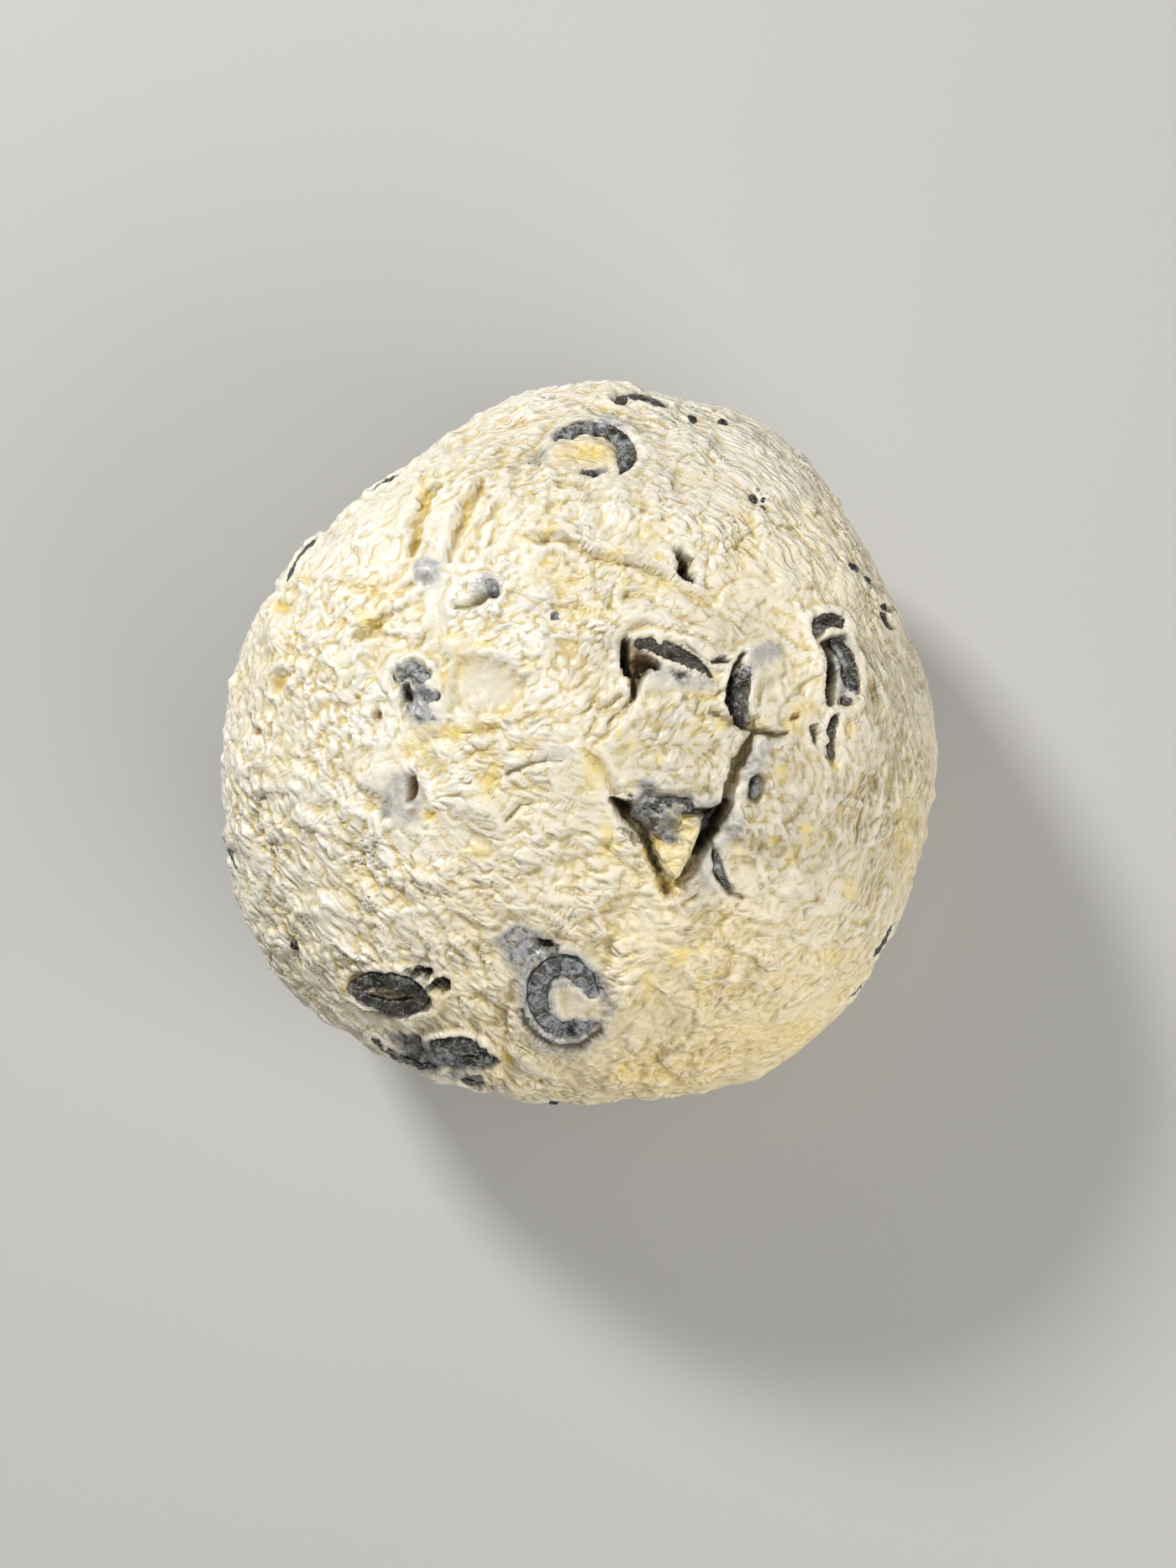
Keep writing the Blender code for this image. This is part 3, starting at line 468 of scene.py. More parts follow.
# Slices of the lower flank: places and tilts in degrees, sizes in mm
LOWER_COUNT = 6
LOWER_AZIMUTH, LOWER_AZIMUTH_STEP = 8, 62
LOWER_ELEVATION, LOWER_ELEVATION_STEP, LOWER_LEVELS = -14, -9, 3
LOWER_SIZES = [(3.6, 2.2), (4.3, 2.2)]
LOWER_SWEEP, LOWER_WIDTH, LOWER_TURN, LOWER_PROUD = (0, 200), 2.4, 47, 0.2

# Chopped bits: azimuth, elevation, radius in mm
SPECKS = [
    (33.0, 21.0, 1.3), (30.0, 19.5, 0.9), (53.0, 27.0, 0.9), (54.8, 28.0, 0.8), (52.2, 28.6, 0.7),
    (55.0, 26.0, 0.7), (71.0, 16.0, 0.9), (66.0, 14.0, 0.8), (100.0, 62.5, 0.8), (215.0, 17.0, 0.9),
    (266.0, 4.0, 1.0),
]
SPECK_SINK = 0.62

# Colours of the cheese and its stains, the painted shade of its hollows, creases, pores, pits and cracks, and
# the film beside the slices
CREAM = (0.80, 0.762, 0.66)
CREAM_PALE = (0.87, 0.85, 0.78)
CREAM_YELLOW = (0.79, 0.685, 0.44)
# painted shade: the hollows of the folds turn yellower
PAINTED_HOLLOW_SHADE = (0.78, 0.66, 0.34)
# painted shade: yellower on the sides turned from the key lamp
CREAM_SHADE_YELLOW = (0.80, 0.67, 0.38)
CREAM_DULL = (0.70, 0.665, 0.56)
# painted shade over whole places, darker and greyer
CREAM_SHADED = (0.565, 0.512, 0.385)
# painted shade: creases, valleys and troughs turn darker tan, more so in the shaded places
CREASE_SHADED = (0.33, 0.26, 0.12)
PAINTED_CREASE_SHADE = (0.60, 0.455, 0.15)
OIL = (0.80, 0.61, 0.13)
BROWN = (0.25, 0.12, 0.025)
# painted shade at the bottoms of cracks
PAINTED_CRACK_SHADE = (0.20, 0.16, 0.07)
# near black: painted shade at crack bottoms and in pits and gaps, and dark spots in the film
DARK = (0.018, 0.015, 0.010)
# painted shade in the pits beside the slices
PAINTED_PIT_SHADE = (0.085, 0.055, 0.018)
# painted shade inside the pores
PAINTED_PORE_SHADE = (0.33, 0.22, 0.09)
FILM = (0.26, 0.28, 0.32)
FILM_DARK = (0.055, 0.06, 0.065)

# How sharply an oval mark ends: the power of the distance in it
REGION_POWER, SMOOTH_POWER, MOUND_POWER = 2, 4, 2.4
FILM_POWER, OIL_POWER, PAINTED_SHADE_POWER, PORE_POWER, BROWN_POWER = 3.0, 2.0, 3.0, 2.0, 3.0
# How strong the films are, and how ragged the brown marks
FILM_SHARE, BROWN_EDGE = 0.6, 0.6

# Relief of the cheese: how far the folds are bent, and where the regions seen from above begin, in mm
REGION_WARP, SHEET_WARP, FLAKE_WARP = (5.0, 1.3, 101), (11, 4, 121), (6, 3, 141)
REGIONS_FROM, REGIONS_WHOLE = 24, 34
# Flank: weight, height, and kind, size, lie, stretch and noise
FLANK_WEIGHT, FLANK_HEIGHT, FLANK = 1.2, 0.9, ("round", 1.9, 0, 1.6, 190)
REGION_SALT, REGION_SALT_STEP = 200, 10
BROADER, SMALLER, CELL_SIZE, CELL_SHARE = 2.4, 0.52, 1.15, 0.5
MEAN_NOISE = 0.28
# How much each kind of fold adds: broad, main pillows, small pillows and lapping edges
BROAD, MAIN, SMALL, LAPS = 1.1, 1.7, 0.3, 0.5
MAIN_POWER = 0.75
LAP_STEP, LAP_REACH = 0.07, 0.2
# Sheets and flakes: size in mm, noise, and height of their edges
SHEETS, SHEET_EDGE = (8.0, 131), 0.7
FLAKES, FLAKE_EDGE = (4.2, 151), 0.4
EDGE_STEP, EDGE_REACH = 0.035, 0.25
FLAKE_STEP = 0.05
RELIEF_DROP = 0.2
CALM_SIZE, CALM_SALT = 11.0, 161
OUTLINE_RANGE, OUTLINE_LEAST, OUTLINE_MORE = (0.1, 0.55), 0.55, 0.45
CALM_RANGE, CALM_LEAST, CALM_MORE = (-0.25, 0.3), 0.6, 0.5
LUMP_LEAST, LUMP_MORE = 0.45, 0.55
ROUGH_LEAST, ROUGH_MORE = 0.55, 0.45
HOLLOW_LEVEL, HOLLOW_SLOPE = 0.5, 0.8
SURFACE_DROP = 0.1
DEEPEST_COLOURED = 1.5
VALLEY_ROUNDS, TROUGH_ROUNDS = 2, 12
DEEP_CRACK = 4.0

# Cracks: where a lip stands, in half widths, what depth has a whole lip, and where their painted shade begins
LIP_PLACE, LIP_WHOLE_DEPTH = 1.6, 2
DARK_FROM, DARK_WHOLE = 0.3, 0.75
COVER_EDGE, COVER_RAGGED = 3, 2

# Ledges: the step across the line, how its ends fade and how far it reaches, all in px
LEDGE_STEP = (-1.5, 3.5)
LEDGE_END = 30
LEDGE_FARTHEST = 90

# Beds of the slices, in mm
BED_MARGIN = 8
BED_ROUGH_SIZE, BED_ROUGH, BED_RAGGED = 1.4, 0.5, 0.45
BED_DEPTH = 1.3
BED_EDGE = (0.25, -0.35)
GAP_PLACE, GAP_WIDTH = 0.25, 0.45
GAP_SIZE, GAP_LEAST, GAP_CHANGE = 3.0, 0.6, 1.2
VEIL_EDGE, VEIL_SIZE, VEIL_CHANGE = (0.3, 0.45), 2.6, 0.6
VEIL_HEIGHT, VEIL_ROUGH = 0.3, 0.4
BED_END = 0.35
LEAST_UPRIGHT = 0.5
BED_SALTS = (400, 440, 480)

# Slices: rows and columns of their grids, how square the section is and how its ends close
RING_GRID, OPEN_GRID = (96, 40), (64, 36)
SECTION_POWER = 0.4
TAPER_LEAST, TAPER_MORE, END_POWER, END_LEAST = 0.55, 0.45, 14, 1e-4
SLICE_STEPS = 49
STATION_STEP, FEWEST_STEPS = 30.0, 3
WRINKLE_WARP, WRINKLE_SIZE, WRINKLE_SALT, WRINKLE_POWER = (2.0, 0.8, 700), 1.5, 710, 0.7
FINE_SIZE, FINE_SALT = 0.7, 711
BEND_SIZE, BEND_SALT, BEND = 4.0, 712, 0.35
WRINKLE_MEAN, FINE_MEAN = 0.3, 0.2
WRINKLE_HEIGHT, FINE_HEIGHT, WRINKLE_DROP = 0.55, 0.2, 0.1
SLICE_SHIFT = (37.0, 11.0, 0)
SKIN_EDGE = (0.2, 0.75)

# Chopped bits
SPECK_ROWS, SPECK_COLUMNS = 18, 24
SPECK_ROUGH, SPECK_SCALE, SPECK_SHIFT, SPECK_SALT = 0.3, 1.4, 9.0, 801
SPECK_FILM = 0.35

# Floor: steps, half its side in mm, the share of it that is flat, and its rise and drop in mm
FLOOR_STEPS, FLOOR_HALF, FLOOR_FLAT, FLOOR_RISE, FLOOR_DROP = 41, 1500, 0.8, 300, 0.05

# Lamps: name, place in metres, side in metres, power and colour
LAMPS = [
    ("key", (-0.50, 0.62, 0.62), 0.16, 9.4, (1.0, 0.985, 0.96)),
    ("fill", (0.75, -0.5, 0.5), 0.9, 7.8, (1.0, 0.975, 0.93)),
    ("above", (0.2, -0.12, 1.0), 0.9, 2.6, (1.0, 0.98, 0.95)),
]
LAMP_TARGET = (0, 0, 0.035)
WORLD_COLOUR, WORLD_STRENGTH = (1.0, 0.98, 0.95, 1), 0.16
NEAREST_SEEN = 0.01

# Painted shade: the cheese turns yellower on the sides turned from the key lamp, from and to in mm: towards
# the front, right of the middle, and at the right
FRONT_REACH, FRONT_SIDE, FRONT_WARMTH = (10, 48), (-30, 15), 0.7
MIDDLE_REACH, MIDDLE_WARMTH = (-25, 5), 0.25
RIGHT_REACH, RIGHT_WARMTH = (30, 52), 0.15

# Looks. A noise is its scale per metre, detail, roughness and distortion. A range is from, to, and
# the values there. A bump is its strength and its height in metres.
# Finest folds of the cheese
FOLD_BEND, FOLD_SCALE, FOLD_DETAIL = (240.0, 0.0016), 560.0, (1.0, 0.35)
FOLD_GAIN, FOLD_ROUND = 4.0, 0.016
FOLD_HEIGHTS, FOLD_BUMP = (0.0, 1.0, 0.08, 1.0), (1.0, 0.00055)
# Pores, their insides painted darker as shade
PORE_BEND, PORE_SCALE, PORE_SIZE = (900.0, 0.0006), 420.0, (0.35, 0.9, 0.0, 0.24)
PORE_LEAST, PORE_EDGE, PORE_SHARE = 0.001, (0.0, 0.4), 0.8
# Colour of the cheese: patches and spots, then painted shade in hollows and creases, a painted highlight on
# ridges, and smeared places
PATCHES, PATCH_RANGE = (55, 3.0, 0.6), (0.38, 0.62)
SPOTS, SPOT_RANGE, SPOT_SHARE = (320, 3.0, 0.6), (0.42, 0.66), 0.3
HOLLOW_RANGE = (0.45, 1.0, 0.0, 0.45)
FOLD_VALLEYS, VALLEY_SHARE = (0.12, 0.4, 1.0, 0.0), 0.14
SHADE_YELLOW_SHARE, PAINTED_SHADE_SHARE = 0.95, 0.9
CREASE_RANGE, CREASE_SHARE = (0.1, 1.0), 0.68
TROUGH_RANGE, TROUGH_SHARE = (0.15, 1.0), 0.55
CREASE_SHADED_SHARE = 0.7
# painted highlight: ridges turn paler
RIDGE_HIGHLIGHT_RANGE = (-0.1, -0.8, 0.0, 0.3)
SMEARED_RANGE = (0.0, 1.0, 0.45, 0.0)
# Stains: oil, film in streaks and heavy spots; painted shade at the bottoms of cracks
OIL_NOISE, OIL_RANGE = (500, 2.0), (0.3, 0.6, 0.6, 1.0)
STREAKS, STREAK_RANGE = (900, 2.0, 0.6, 0.6), (0.35, 0.6, 0.55, 1.0)
HEAVY_RANGE, HEAVY_SPOTS, HEAVY_SPOT_RANGE = (0.7, 0.95), (620, 2.0, 0.6, 0.6), (0.44, 0.60)
DEEP_RANGE = (0.25, 0.8, 0.0, 0.9)
# Grain and gloss of the cheese, and how light goes into it
GRAIN, GRAIN_BUMP = (3600, 2.0, 0.5), (0.5, 0.00015)
GLOSS_NOISE, GLOSS_RANGE = (260, 2.0), (0.35, 0.65, 0.24, 0.46)
CHEESE_ROUGHNESS, CHEESE_SPECULAR = 0.42, 0.5
SOFT_WEIGHT, SOFT_COLOUR, SOFT_DEPTH = 0.25, (1.0, 0.6, 0.3), 0.0012
# Olives: blotches, streaks of pale film, veins and grain
OLIVE_ROUGHNESS, OLIVE_SPECULAR = 0.3, 0.4
BLOTCHES, BLOTCH_RANGE = (420, 3.0, 0.6, 0.5), (0.4, 0.6)
FLESH_COLOURS = ((0.012, 0.011, 0.007), (0.055, 0.05, 0.038))
SKIN_COLOURS = ((0.006, 0.006, 0.006), (0.024, 0.024, 0.025))
RADIAL_NOISE, RADIAL_SHARE = (5.0, 3.0, 0.7), 0.3
OLIVE_STREAKS, STREAK_SHARE = (900, 4.0, 0.65, 0.8), 0.7
OLIVE_PATCHES, OLIVE_PATCH_SHARE, OLIVE_STREAK_SHARE = (330, 2.0, 0.5, 0.8), 0.6, 0.4
FILM_EDGE, FILM_GAIN, FILM_RANGE, OLIVE_FILM_SHARE = 0.72, 0.36, (-0.08, 0.10), 0.85
PALE_RANGE, PALE_COLOURS = (0.38, 0.62), ((0.085, 0.095, 0.115), (0.42, 0.435, 0.46))
VEIN_NOISE, VEIN_RANGE, VEIN_FILM = (520, 1.0, 0.5, 1.2), (0.0, 0.022, 1.0, 0.0), (0.0, 0.7, 0.3, 1.0)
VEIN_SHARE, VEIN_COLOUR = 0.75, (0.50, 0.48, 0.42)
OLIVE_GRAIN, OLIVE_BUMP = (2200, 3.0, 0.6, 0.5), (0.6, 0.0003)
OLIVE_GLOSS = (0.0, 1.0, 0.28, 0.5)
# Floor
FLOOR_ROUGHNESS, FLOOR_SPECULAR, FLOOR_NOISE = 0.6, 0.3, (6, 2.0)
FLOOR_COLOURS = ((0.47, 0.47, 0.468), (0.50, 0.50, 0.498))


def smooth_step(low, high, value):
    """Rise from 0 at low to 1 at high as 3t^2 - 2t^3."""
    share = np.clip((value - low) / (high - low), 0, 1)
    return share * share * (3 - 2 * share)


def direction(azimuth, elevation):
    """Return the unit direction (cos up cos around, cos up sin around, sin up), from degrees."""
    around, up = math.radians(azimuth), math.radians(elevation)
    return np.array([math.cos(up) * math.cos(around), math.cos(up) * math.sin(around), math.sin(up)])


def on_crown(x, y):
    """Return the direction of x, y and z = crown * root of 1 - (x / a)^2 - (y / b)^2."""
    z = CROWN * math.sqrt(1 - (x / HALF_LENGTH) ** 2 - (y / HALF_WIDTH) ** 2)
    return np.array([x, y, z]) / math.sqrt(x * x + y * y + z * z)


def ellipsoid(directions):
    """Return the plain ellipsoid's points, d / |d / axes|, and its outward normals, p / axes^2."""
    rise = np.where(directions[:, 2] > 0, CROWN, BELLY)
    axes = np.stack([np.full_like(rise, HALF_LENGTH), np.full_like(rise, HALF_WIDTH), rise], axis=1)
    reach = 1 / np.linalg.norm(directions / axes, axis=1)
    points = directions * reach[:, None]
    normals = points / axes ** 2
    return points, normals / np.linalg.norm(normals, axis=1)[:, None]


def flat_depth(points, normals):
    """Return how far each point is pressed in by the flats, along its normal.

    A flat presses by s * log(1 + e^(over / s)), with over the height above it and s its softness.
    """
    total = np.zeros(len(points))
    for azimuth, elevation, depth in FLATS:
        face = direction(azimuth, elevation)
        reach = math.sqrt((HALF_LENGTH * face[0]) ** 2 + (HALF_WIDTH * face[1]) ** 2 + (CROWN * face[2]) ** 2)
        height = points @ face
        over = FLAT_SOFTNESS * np.logaddexp(0, (height - reach + depth) / FLAT_SOFTNESS)
        over = np.where(height > 0, over, 0)
        total += over / np.maximum(normals @ face, FLAT_STEEPEST)
    return total


def lattice_slope(corner, salt):
    """Return a repeatable slope for each corner of a lattice: the rest of a product of whole numbers."""
    along_x, along_y, along_z = (corner[:, axis] * factor for axis, factor in enumerate(CORNER_FACTORS))
    mixed = along_x ^ along_y ^ along_z ^ salt * SALT_FACTOR
    slopes = []
    for turn in (1, 2, 3):
        mixed = (mixed ^ (mixed >> 13)) * STIR_FACTOR + turn & STIR_MASK
        slopes.append((mixed ^ (mixed >> 15)) % (2 * SLOPE_STEPS + 1) / SLOPE_STEPS - 1)
    return np.stack(slopes, axis=1)


def gradient_noise(points, salt):
    """Return smooth noise of about -1 to 1: lattice slopes blended with 6t^5 - 15t^4 + 10t^3."""
    base = np.floor(points).astype(np.int64)
    part = points - base
    fade = part ** 3 * (part * (part * 6 - 15) + 10)
    total = np.zeros(len(points))
    for offset in itertools.product((0, 1), repeat=3):
        slope = lattice_slope(base + offset, salt)
        weight = np.prod(np.where(np.array(offset) == 1, fade, 1 - fade), axis=1)
        total += weight * np.sum(slope * (part - offset), axis=1)
    return total


def noise_sum(points, rows):
    """Return the sum of noises, height * noise(p / size), for rows of size, height and noise."""
    return sum(height * gradient_noise(points / size, salt) for size, height, salt in rows)


def cell_distance(points, salt):
    """Return the second nearest less the nearest distance to a scattered point, one in each cell."""
    base = np.floor(points).astype(np.int64)
    nearest = np.full(len(points), FAR)
    second = np.full(len(points), FAR)
    for offset in itertools.product((-1, 0, 1), repeat=3):
        corner = base + offset
        place = corner + 0.5 + CELL_SCATTER * lattice_slope(corner, salt)
        away = np.linalg.norm(points - place, axis=1)
        second = np.minimum(second, np.maximum(nearest, away))
        nearest = np.minimum(nearest, away)
    return second - nearest


def warp(points, size, amount, salt):
    """Return p + amount * three noises of a size."""
    shifts = [gradient_noise(points / size, salt + axis) for axis in range(3)]
    return points + amount * np.stack(shifts, axis=1)


def stretched(points, lie, stretch):
    """Return p - a (p . a)(1 - 1 / stretch), a being the lie, so that noise is drawn out along it."""
    along = direction(lie, 0)
    return points - along * (points @ along)[:, None] * (1 - 1 / stretch)


def drawn_round(points, stretch):
    """Return (x / stretch, y / stretch, |x, y| - z), so that noise runs round the ball."""
    plan = np.linalg.norm(points[:, :2], axis=1)
    down = plan - points[:, 2]
    return np.stack([points[:, 0] / stretch, points[:, 1] / stretch, down], axis=1)


def view_px(points):
    """Return where points in mm appear in the view: its middle + focal length * offset / depth, in px."""
    depth = CAMERA_PLACE[2] - points[:, 2]
    right = VIEW_WIDTH / 2 + FOCAL_PX * (points[:, 0] - CAMERA_PLACE[0]) / depth
    down = VIEW_HEIGHT / 2 - FOCAL_PX * (points[:, 1] - CAMERA_PLACE[1]) / depth
    return np.stack([right, down], axis=1)


def from_stretch(seen, start, end):
    """Return each seen place's offset from the nearest place of a straight stretch, and its share of it."""
    run = end - start
    share = np.clip((seen - start) @ run / (run @ run), 0, 1)
    return seen - start - share[:, None] * run, share


def line_distance(seen, line):
    """Return each seen place's distance in px to a line, and its side: the sign of run x offset."""
    nearest = np.full(len(seen), np.inf)
    side = np.zeros(len(seen))
    corners = np.array(line, float)
    for start, end in zip(corners, corners[1:]):
        away, _ = from_stretch(seen, start, end)
        distance = np.linalg.norm(away, axis=1)
        closer = distance < nearest
        nearest = np.where(closer, distance, nearest)
        run = end - start
        turn = np.sign(run[1] * away[:, 0] - run[0] * away[:, 1])
        side = np.where(closer, turn, side)
    return nearest, side


def along_line(seen, line):
    """Return each seen place's distance in px to a line, and how many corners along it that is."""
    nearest = np.full(len(seen), np.inf)
    progress = np.zeros(len(seen))
    corners = np.array(line, float)
    for number, (start, end) in enumerate(zip(corners, corners[1:])):
        away, share = from_stretch(seen, start, end)
        distance = np.linalg.norm(away, axis=1)
        progress = np.where(distance < nearest, number + share, progress)
        nearest = np.minimum(nearest, distance)
    return nearest, progress


def polygon_distance(seen, corners):
    """Return each seen place's distance in px to an outline, negative where a ray crosses it oddly."""
    closed = np.array(corners + corners[:1], float)
    nearest = np.full(len(seen), np.inf)
    inside = np.zeros(len(seen), bool)
    for start, end in zip(closed, closed[1:]):
        away, _ = from_stretch(seen, start, end)
        nearest = np.minimum(nearest, np.linalg.norm(away, axis=1))
        run = end - start
        crosses = (start[1] > seen[:, 1]) != (end[1] > seen[:, 1])
        level = start[0] + (seen[:, 1] - start[1]) * run[0] / (run[1] if run[1] else 1)
        inside ^= crosses & (seen[:, 0] < level)
    return np.where(inside, -nearest, nearest)


def oval_radius(seen, place, half_sizes):
    """Return the distance r of each seen place from a place, in half sizes."""
    return np.hypot((seen[:, 0] - place[0]) / half_sizes[0], (seen[:, 1] - place[1]) / half_sizes[1])


def oval_mask(seen, place, half_sizes, power):
    """Return an oval mark, e^(-r^power), with r the distance in half sizes."""
    return np.exp(-oval_radius(seen, place, half_sizes) ** power)


def painted(seen, places, edge, power):
    """Return the strongest of many oval marks, e^-(r + edge)^power, their outline moved by a noise."""
    total = np.zeros(len(seen))
    for place, half_sizes, strength in places:
        radius = oval_radius(seen, place, half_sizes)
        total = np.maximum(total, strength * np.exp(-np.maximum(radius + edge, 0) ** power))
    return total


def grid_faces(index):
    """Return the four-sided faces of a grid of point numbers."""
    return np.stack([index[:-1, :-1], index[1:, :-1], index[1:, 1:], index[:-1, 1:]], axis=-1).reshape(-1, 4)


def wrap_directions():
    """Return the directions of a square grid wrapped round a ball, and its four-sided faces.

    The square is folded like an octahedron: with s = |u| + |v|, the polar angle is a rising function
    of s, and the azimuth runs through a quarter turn in each corner. Its edges meet and are joined.
    """
    steps = np.linspace(-1, 1, GRID)
    u, v = (item.ravel() for item in np.meshgrid(steps, steps, indexing="ij"))
    share = np.abs(u) + np.abs(v)
    upper = share <= 1
    along = np.where(upper, np.abs(u), 1 - np.abs(v))
    across = np.where(upper, np.abs(v), 1 - np.abs(u))
    total = np.maximum(along + across, TINY)
    quarter = (across / total) * math.pi / 2
    quarter = np.where(along + across < POLE, 0, quarter)
    east = np.where(u < 0, -1, 1) * np.cos(quarter)
    north = np.where(v < 0, -1, 1) * np.sin(quarter)
    around = np.arctan2(north, east)
    polar = np.radians(np.interp(share, WRAP_SHARES, WRAP_ANGLES))
    rise = np.where(polar < math.pi / 2, CROWN, BELLY)
    plan_x = HALF_LENGTH * np.sin(polar) * np.cos(around)
    plan_y = HALF_WIDTH * np.sin(polar) * np.sin(around)
    raw = np.stack([plan_x, plan_y, rise * np.cos(polar)], axis=1)
    directions = raw / np.linalg.norm(raw, axis=1)[:, None]
    quads = grid_faces(np.arange(GRID * GRID).reshape(GRID, GRID))
    keys = np.round(directions * JOIN_STEPS).astype(np.int64)
    _, first, joined = np.unique(keys, axis=0, return_index=True, return_inverse=True)
    return directions[first], joined.ravel()[quads]


def one_noise(warped, kind, size, lie, stretch, salt):
    """Return one region's broad, main and small noise, noise(laid p / size), drawn out along its lie."""
    laid_out = drawn_round(warped, stretch) if kind == "round" else stretched(warped, lie, stretch)
    broad = gradient_noise(laid_out / (size * BROADER), salt)
    if kind == "cell":
        main = CELL_SHARE * cell_distance(laid_out / (size * CELL_SIZE), salt + 1)
    else:
        main = gradient_noise(laid_out / size, salt + 1)
    small = gradient_noise(laid_out / (size * SMALLER), salt + 2)
    return np.stack([broad, main, small], axis=1)


def region_noise(points, seen):
    """Return the noises of the relief and its height, each region's own weighted by how near it is.

    A blend is sum(weight * noise) / root of sum(weight^2), so it is as strong as one of its noises.
    """
    warped = warp(points, *REGION_WARP)
    facing = smooth_step(REGIONS_FROM, REGIONS_WHOLE, points[:, 2] + MIDDLE[2])
    weight = REGION_FLOOR + FLANK_WEIGHT * (1 - facing)
    squares = weight ** 2
    weights = weight.copy()
    noises = weight[:, None] * one_noise(warped, *FLANK)
    heights = weight * FLANK_HEIGHT
    lay_weights = np.zeros((len(LAYS), len(points)))
    lay_weights[ROUND_LAY] = weight
    for number, (place, half_sizes, kind, size, height, lie, stretch, lay) in enumerate(REGIONS):
        weight = oval_mask(seen, place, half_sizes, REGION_POWER) * facing
        salt = REGION_SALT + REGION_SALT_STEP * number
        noises += weight[:, None] * one_noise(warped, kind, size, lie, stretch, salt)
        heights += weight * height
        lay_weights[lay] += weight
        squares += weight ** 2
        weights += weight
    lay_weights /= np.sqrt(np.sum(lay_weights ** 2, axis=0))
    return noises / np.sqrt(squares)[:, None], heights / weights, lay_weights


def pillow(noise, power):
    """Return |noise|^power less its mean: rounded on top and sharp in the creases where noise is 0."""
    return np.abs(noise) ** power - MEAN_NOISE ** power


def overlap(noise, step, reach):
    """Return a fold that lies over its neighbour: it jumps where noise n is 0 and falls as e^(-n / reach)."""
    return smooth_step(-step, step, noise) * np.exp(-np.maximum(noise, 0) / reach)


def crack_cut(points, seen):
    """Return the depth of the cracks, the lips beside them, and the painted shade that darkens their bottoms.

    With r = distance / half width, a crack is depth / (1 + r^4), its edge wandering with two noises; a
    lip is a bell a little outside its edge.
    """
    wander = noise_sum(points, CRACK_WANDER)
    deepest, lips, dark = (np.zeros(len(points)) for _ in range(3))
    for line, half_widths, depth, shade in CRACKS:
        distance, progress = along_line(seen, line)
        half_width = np.interp(progress, range(len(line)), half_widths)
        away = np.maximum(distance / PX_PER_MM + wander * half_width * np.minimum(1, half_width), 0)
        profile = 1 / (1 + (away / half_width) ** 4)
        deepest = np.maximum(deepest, depth * profile)
        bell = np.exp(-((away - LIP_PLACE * half_width) / LIP_REACH) ** 2)
        lips = np.maximum(lips, LIP_HEIGHT * min(1, depth / LIP_WHOLE_DEPTH) * bell)
        dark = np.maximum(dark, shade * smooth_step(DARK_FROM, DARK_WHOLE, profile))
    return deepest, lips, dark


def shape_marks(points, seen):
    """Return the height and colours of the shapes, and where cheese covers the slices.

    A shape's mask rises smoothly from its edge to the same distance inside its ragged outline.
    """
    ragged = SHAPE_RAGGED * noise_sum(points, SHAPE_WANDER)
    height = np.zeros(len(points))
    colours = {key: np.zeros(len(points)) for key in ("film", "oil", "dark", "pit")}
    for corners, rise, edge, marks in SHAPES:
        mask = smooth_step(edge, -edge, polygon_distance(seen, corners) + ragged)
        height += rise * mask
        for key, strength in marks.items():
            over = np.maximum(colours[key], strength * mask)
            colours[key] = over if strength > 0 else colours[key] * (1 + strength * mask)
    cover = np.zeros(len(points))
    for corners in COVERS:
        distance = polygon_distance(seen, corners) + COVER_RAGGED * ragged
        cover = np.maximum(cover, smooth_step(COVER_EDGE, -COVER_EDGE, distance))
    return height, colours, cover


def ledge_height(points, seen):
    """Return the height of the ledges: height * e^(-away / reach) on each side, with a steep step."""
    wander = noise_sum(points, LEDGE_WANDER)
    total = np.zeros(len(points))
    for line, above, below, reach_above, reach_below in LEDGES:
        distance, side = line_distance(seen, line)
        signed = distance * side + wander
        up = smooth_step(*LEDGE_STEP, signed)
        away = np.abs(signed) / PX_PER_MM
        ends = smooth_step(LEDGE_END, 0, distance - np.abs(signed))
        rise = above * np.exp(-away / reach_above)
        fall = below * np.exp(-away / reach_below)
        total += (up * rise + (1 - up) * fall) * ends * (distance < LEDGE_FARTHEST)
    return total


def make_mesh(name, points, faces, material, attributes=None):
    """Make an object from points in mm and faces, with float attributes on its points."""
    mesh = bpy.data.meshes.new(name)
    sides = faces.shape[1]
    mesh.vertices.add(len(points))
    mesh.vertices.foreach_set("co", (points * MM).astype(np.float32).ravel())
    mesh.loops.add(faces.size)
    mesh.loops.foreach_set("vertex_index", faces.astype(np.int32).ravel())
    mesh.polygons.add(len(faces))
    mesh.polygons.foreach_set("loop_start", np.arange(0, faces.size, sides, dtype=np.int32))
    mesh.update(calc_edges=True)
    mesh.validate()
    mesh.shade_smooth()
    for key, values in (attributes or {}).items():
        layer = mesh.attributes.new(key, "FLOAT", "POINT")
        layer.data.foreach_set("value", values.astype(np.float32))
    mesh.materials.append(material)
    item = bpy.data.objects.new(name, mesh)
    bpy.context.scene.collection.objects.link(item)
    return item


def olive(
    name, toward, size, sweep, width, turn, tilt=0.0, proud=0.4, film=0.3, gap=0.8, lip=0.55,
    reach=2.2, veil=0.15, wrinkle=1.0, point=0.0,
):
    """Describe a slice: place, ellipse and lie, then its film, and the cheese's gap, lip and veil."""
    return {
        "name": name, "toward": toward, "size": size, "sweep": sweep, "width": width, "turn": turn,
        "tilt": tilt, "proud": proud, "film": film, "gap": gap, "lip": lip, "reach": reach,
        "veil": veil, "wrinkle": wrinkle, "point": point,
    }


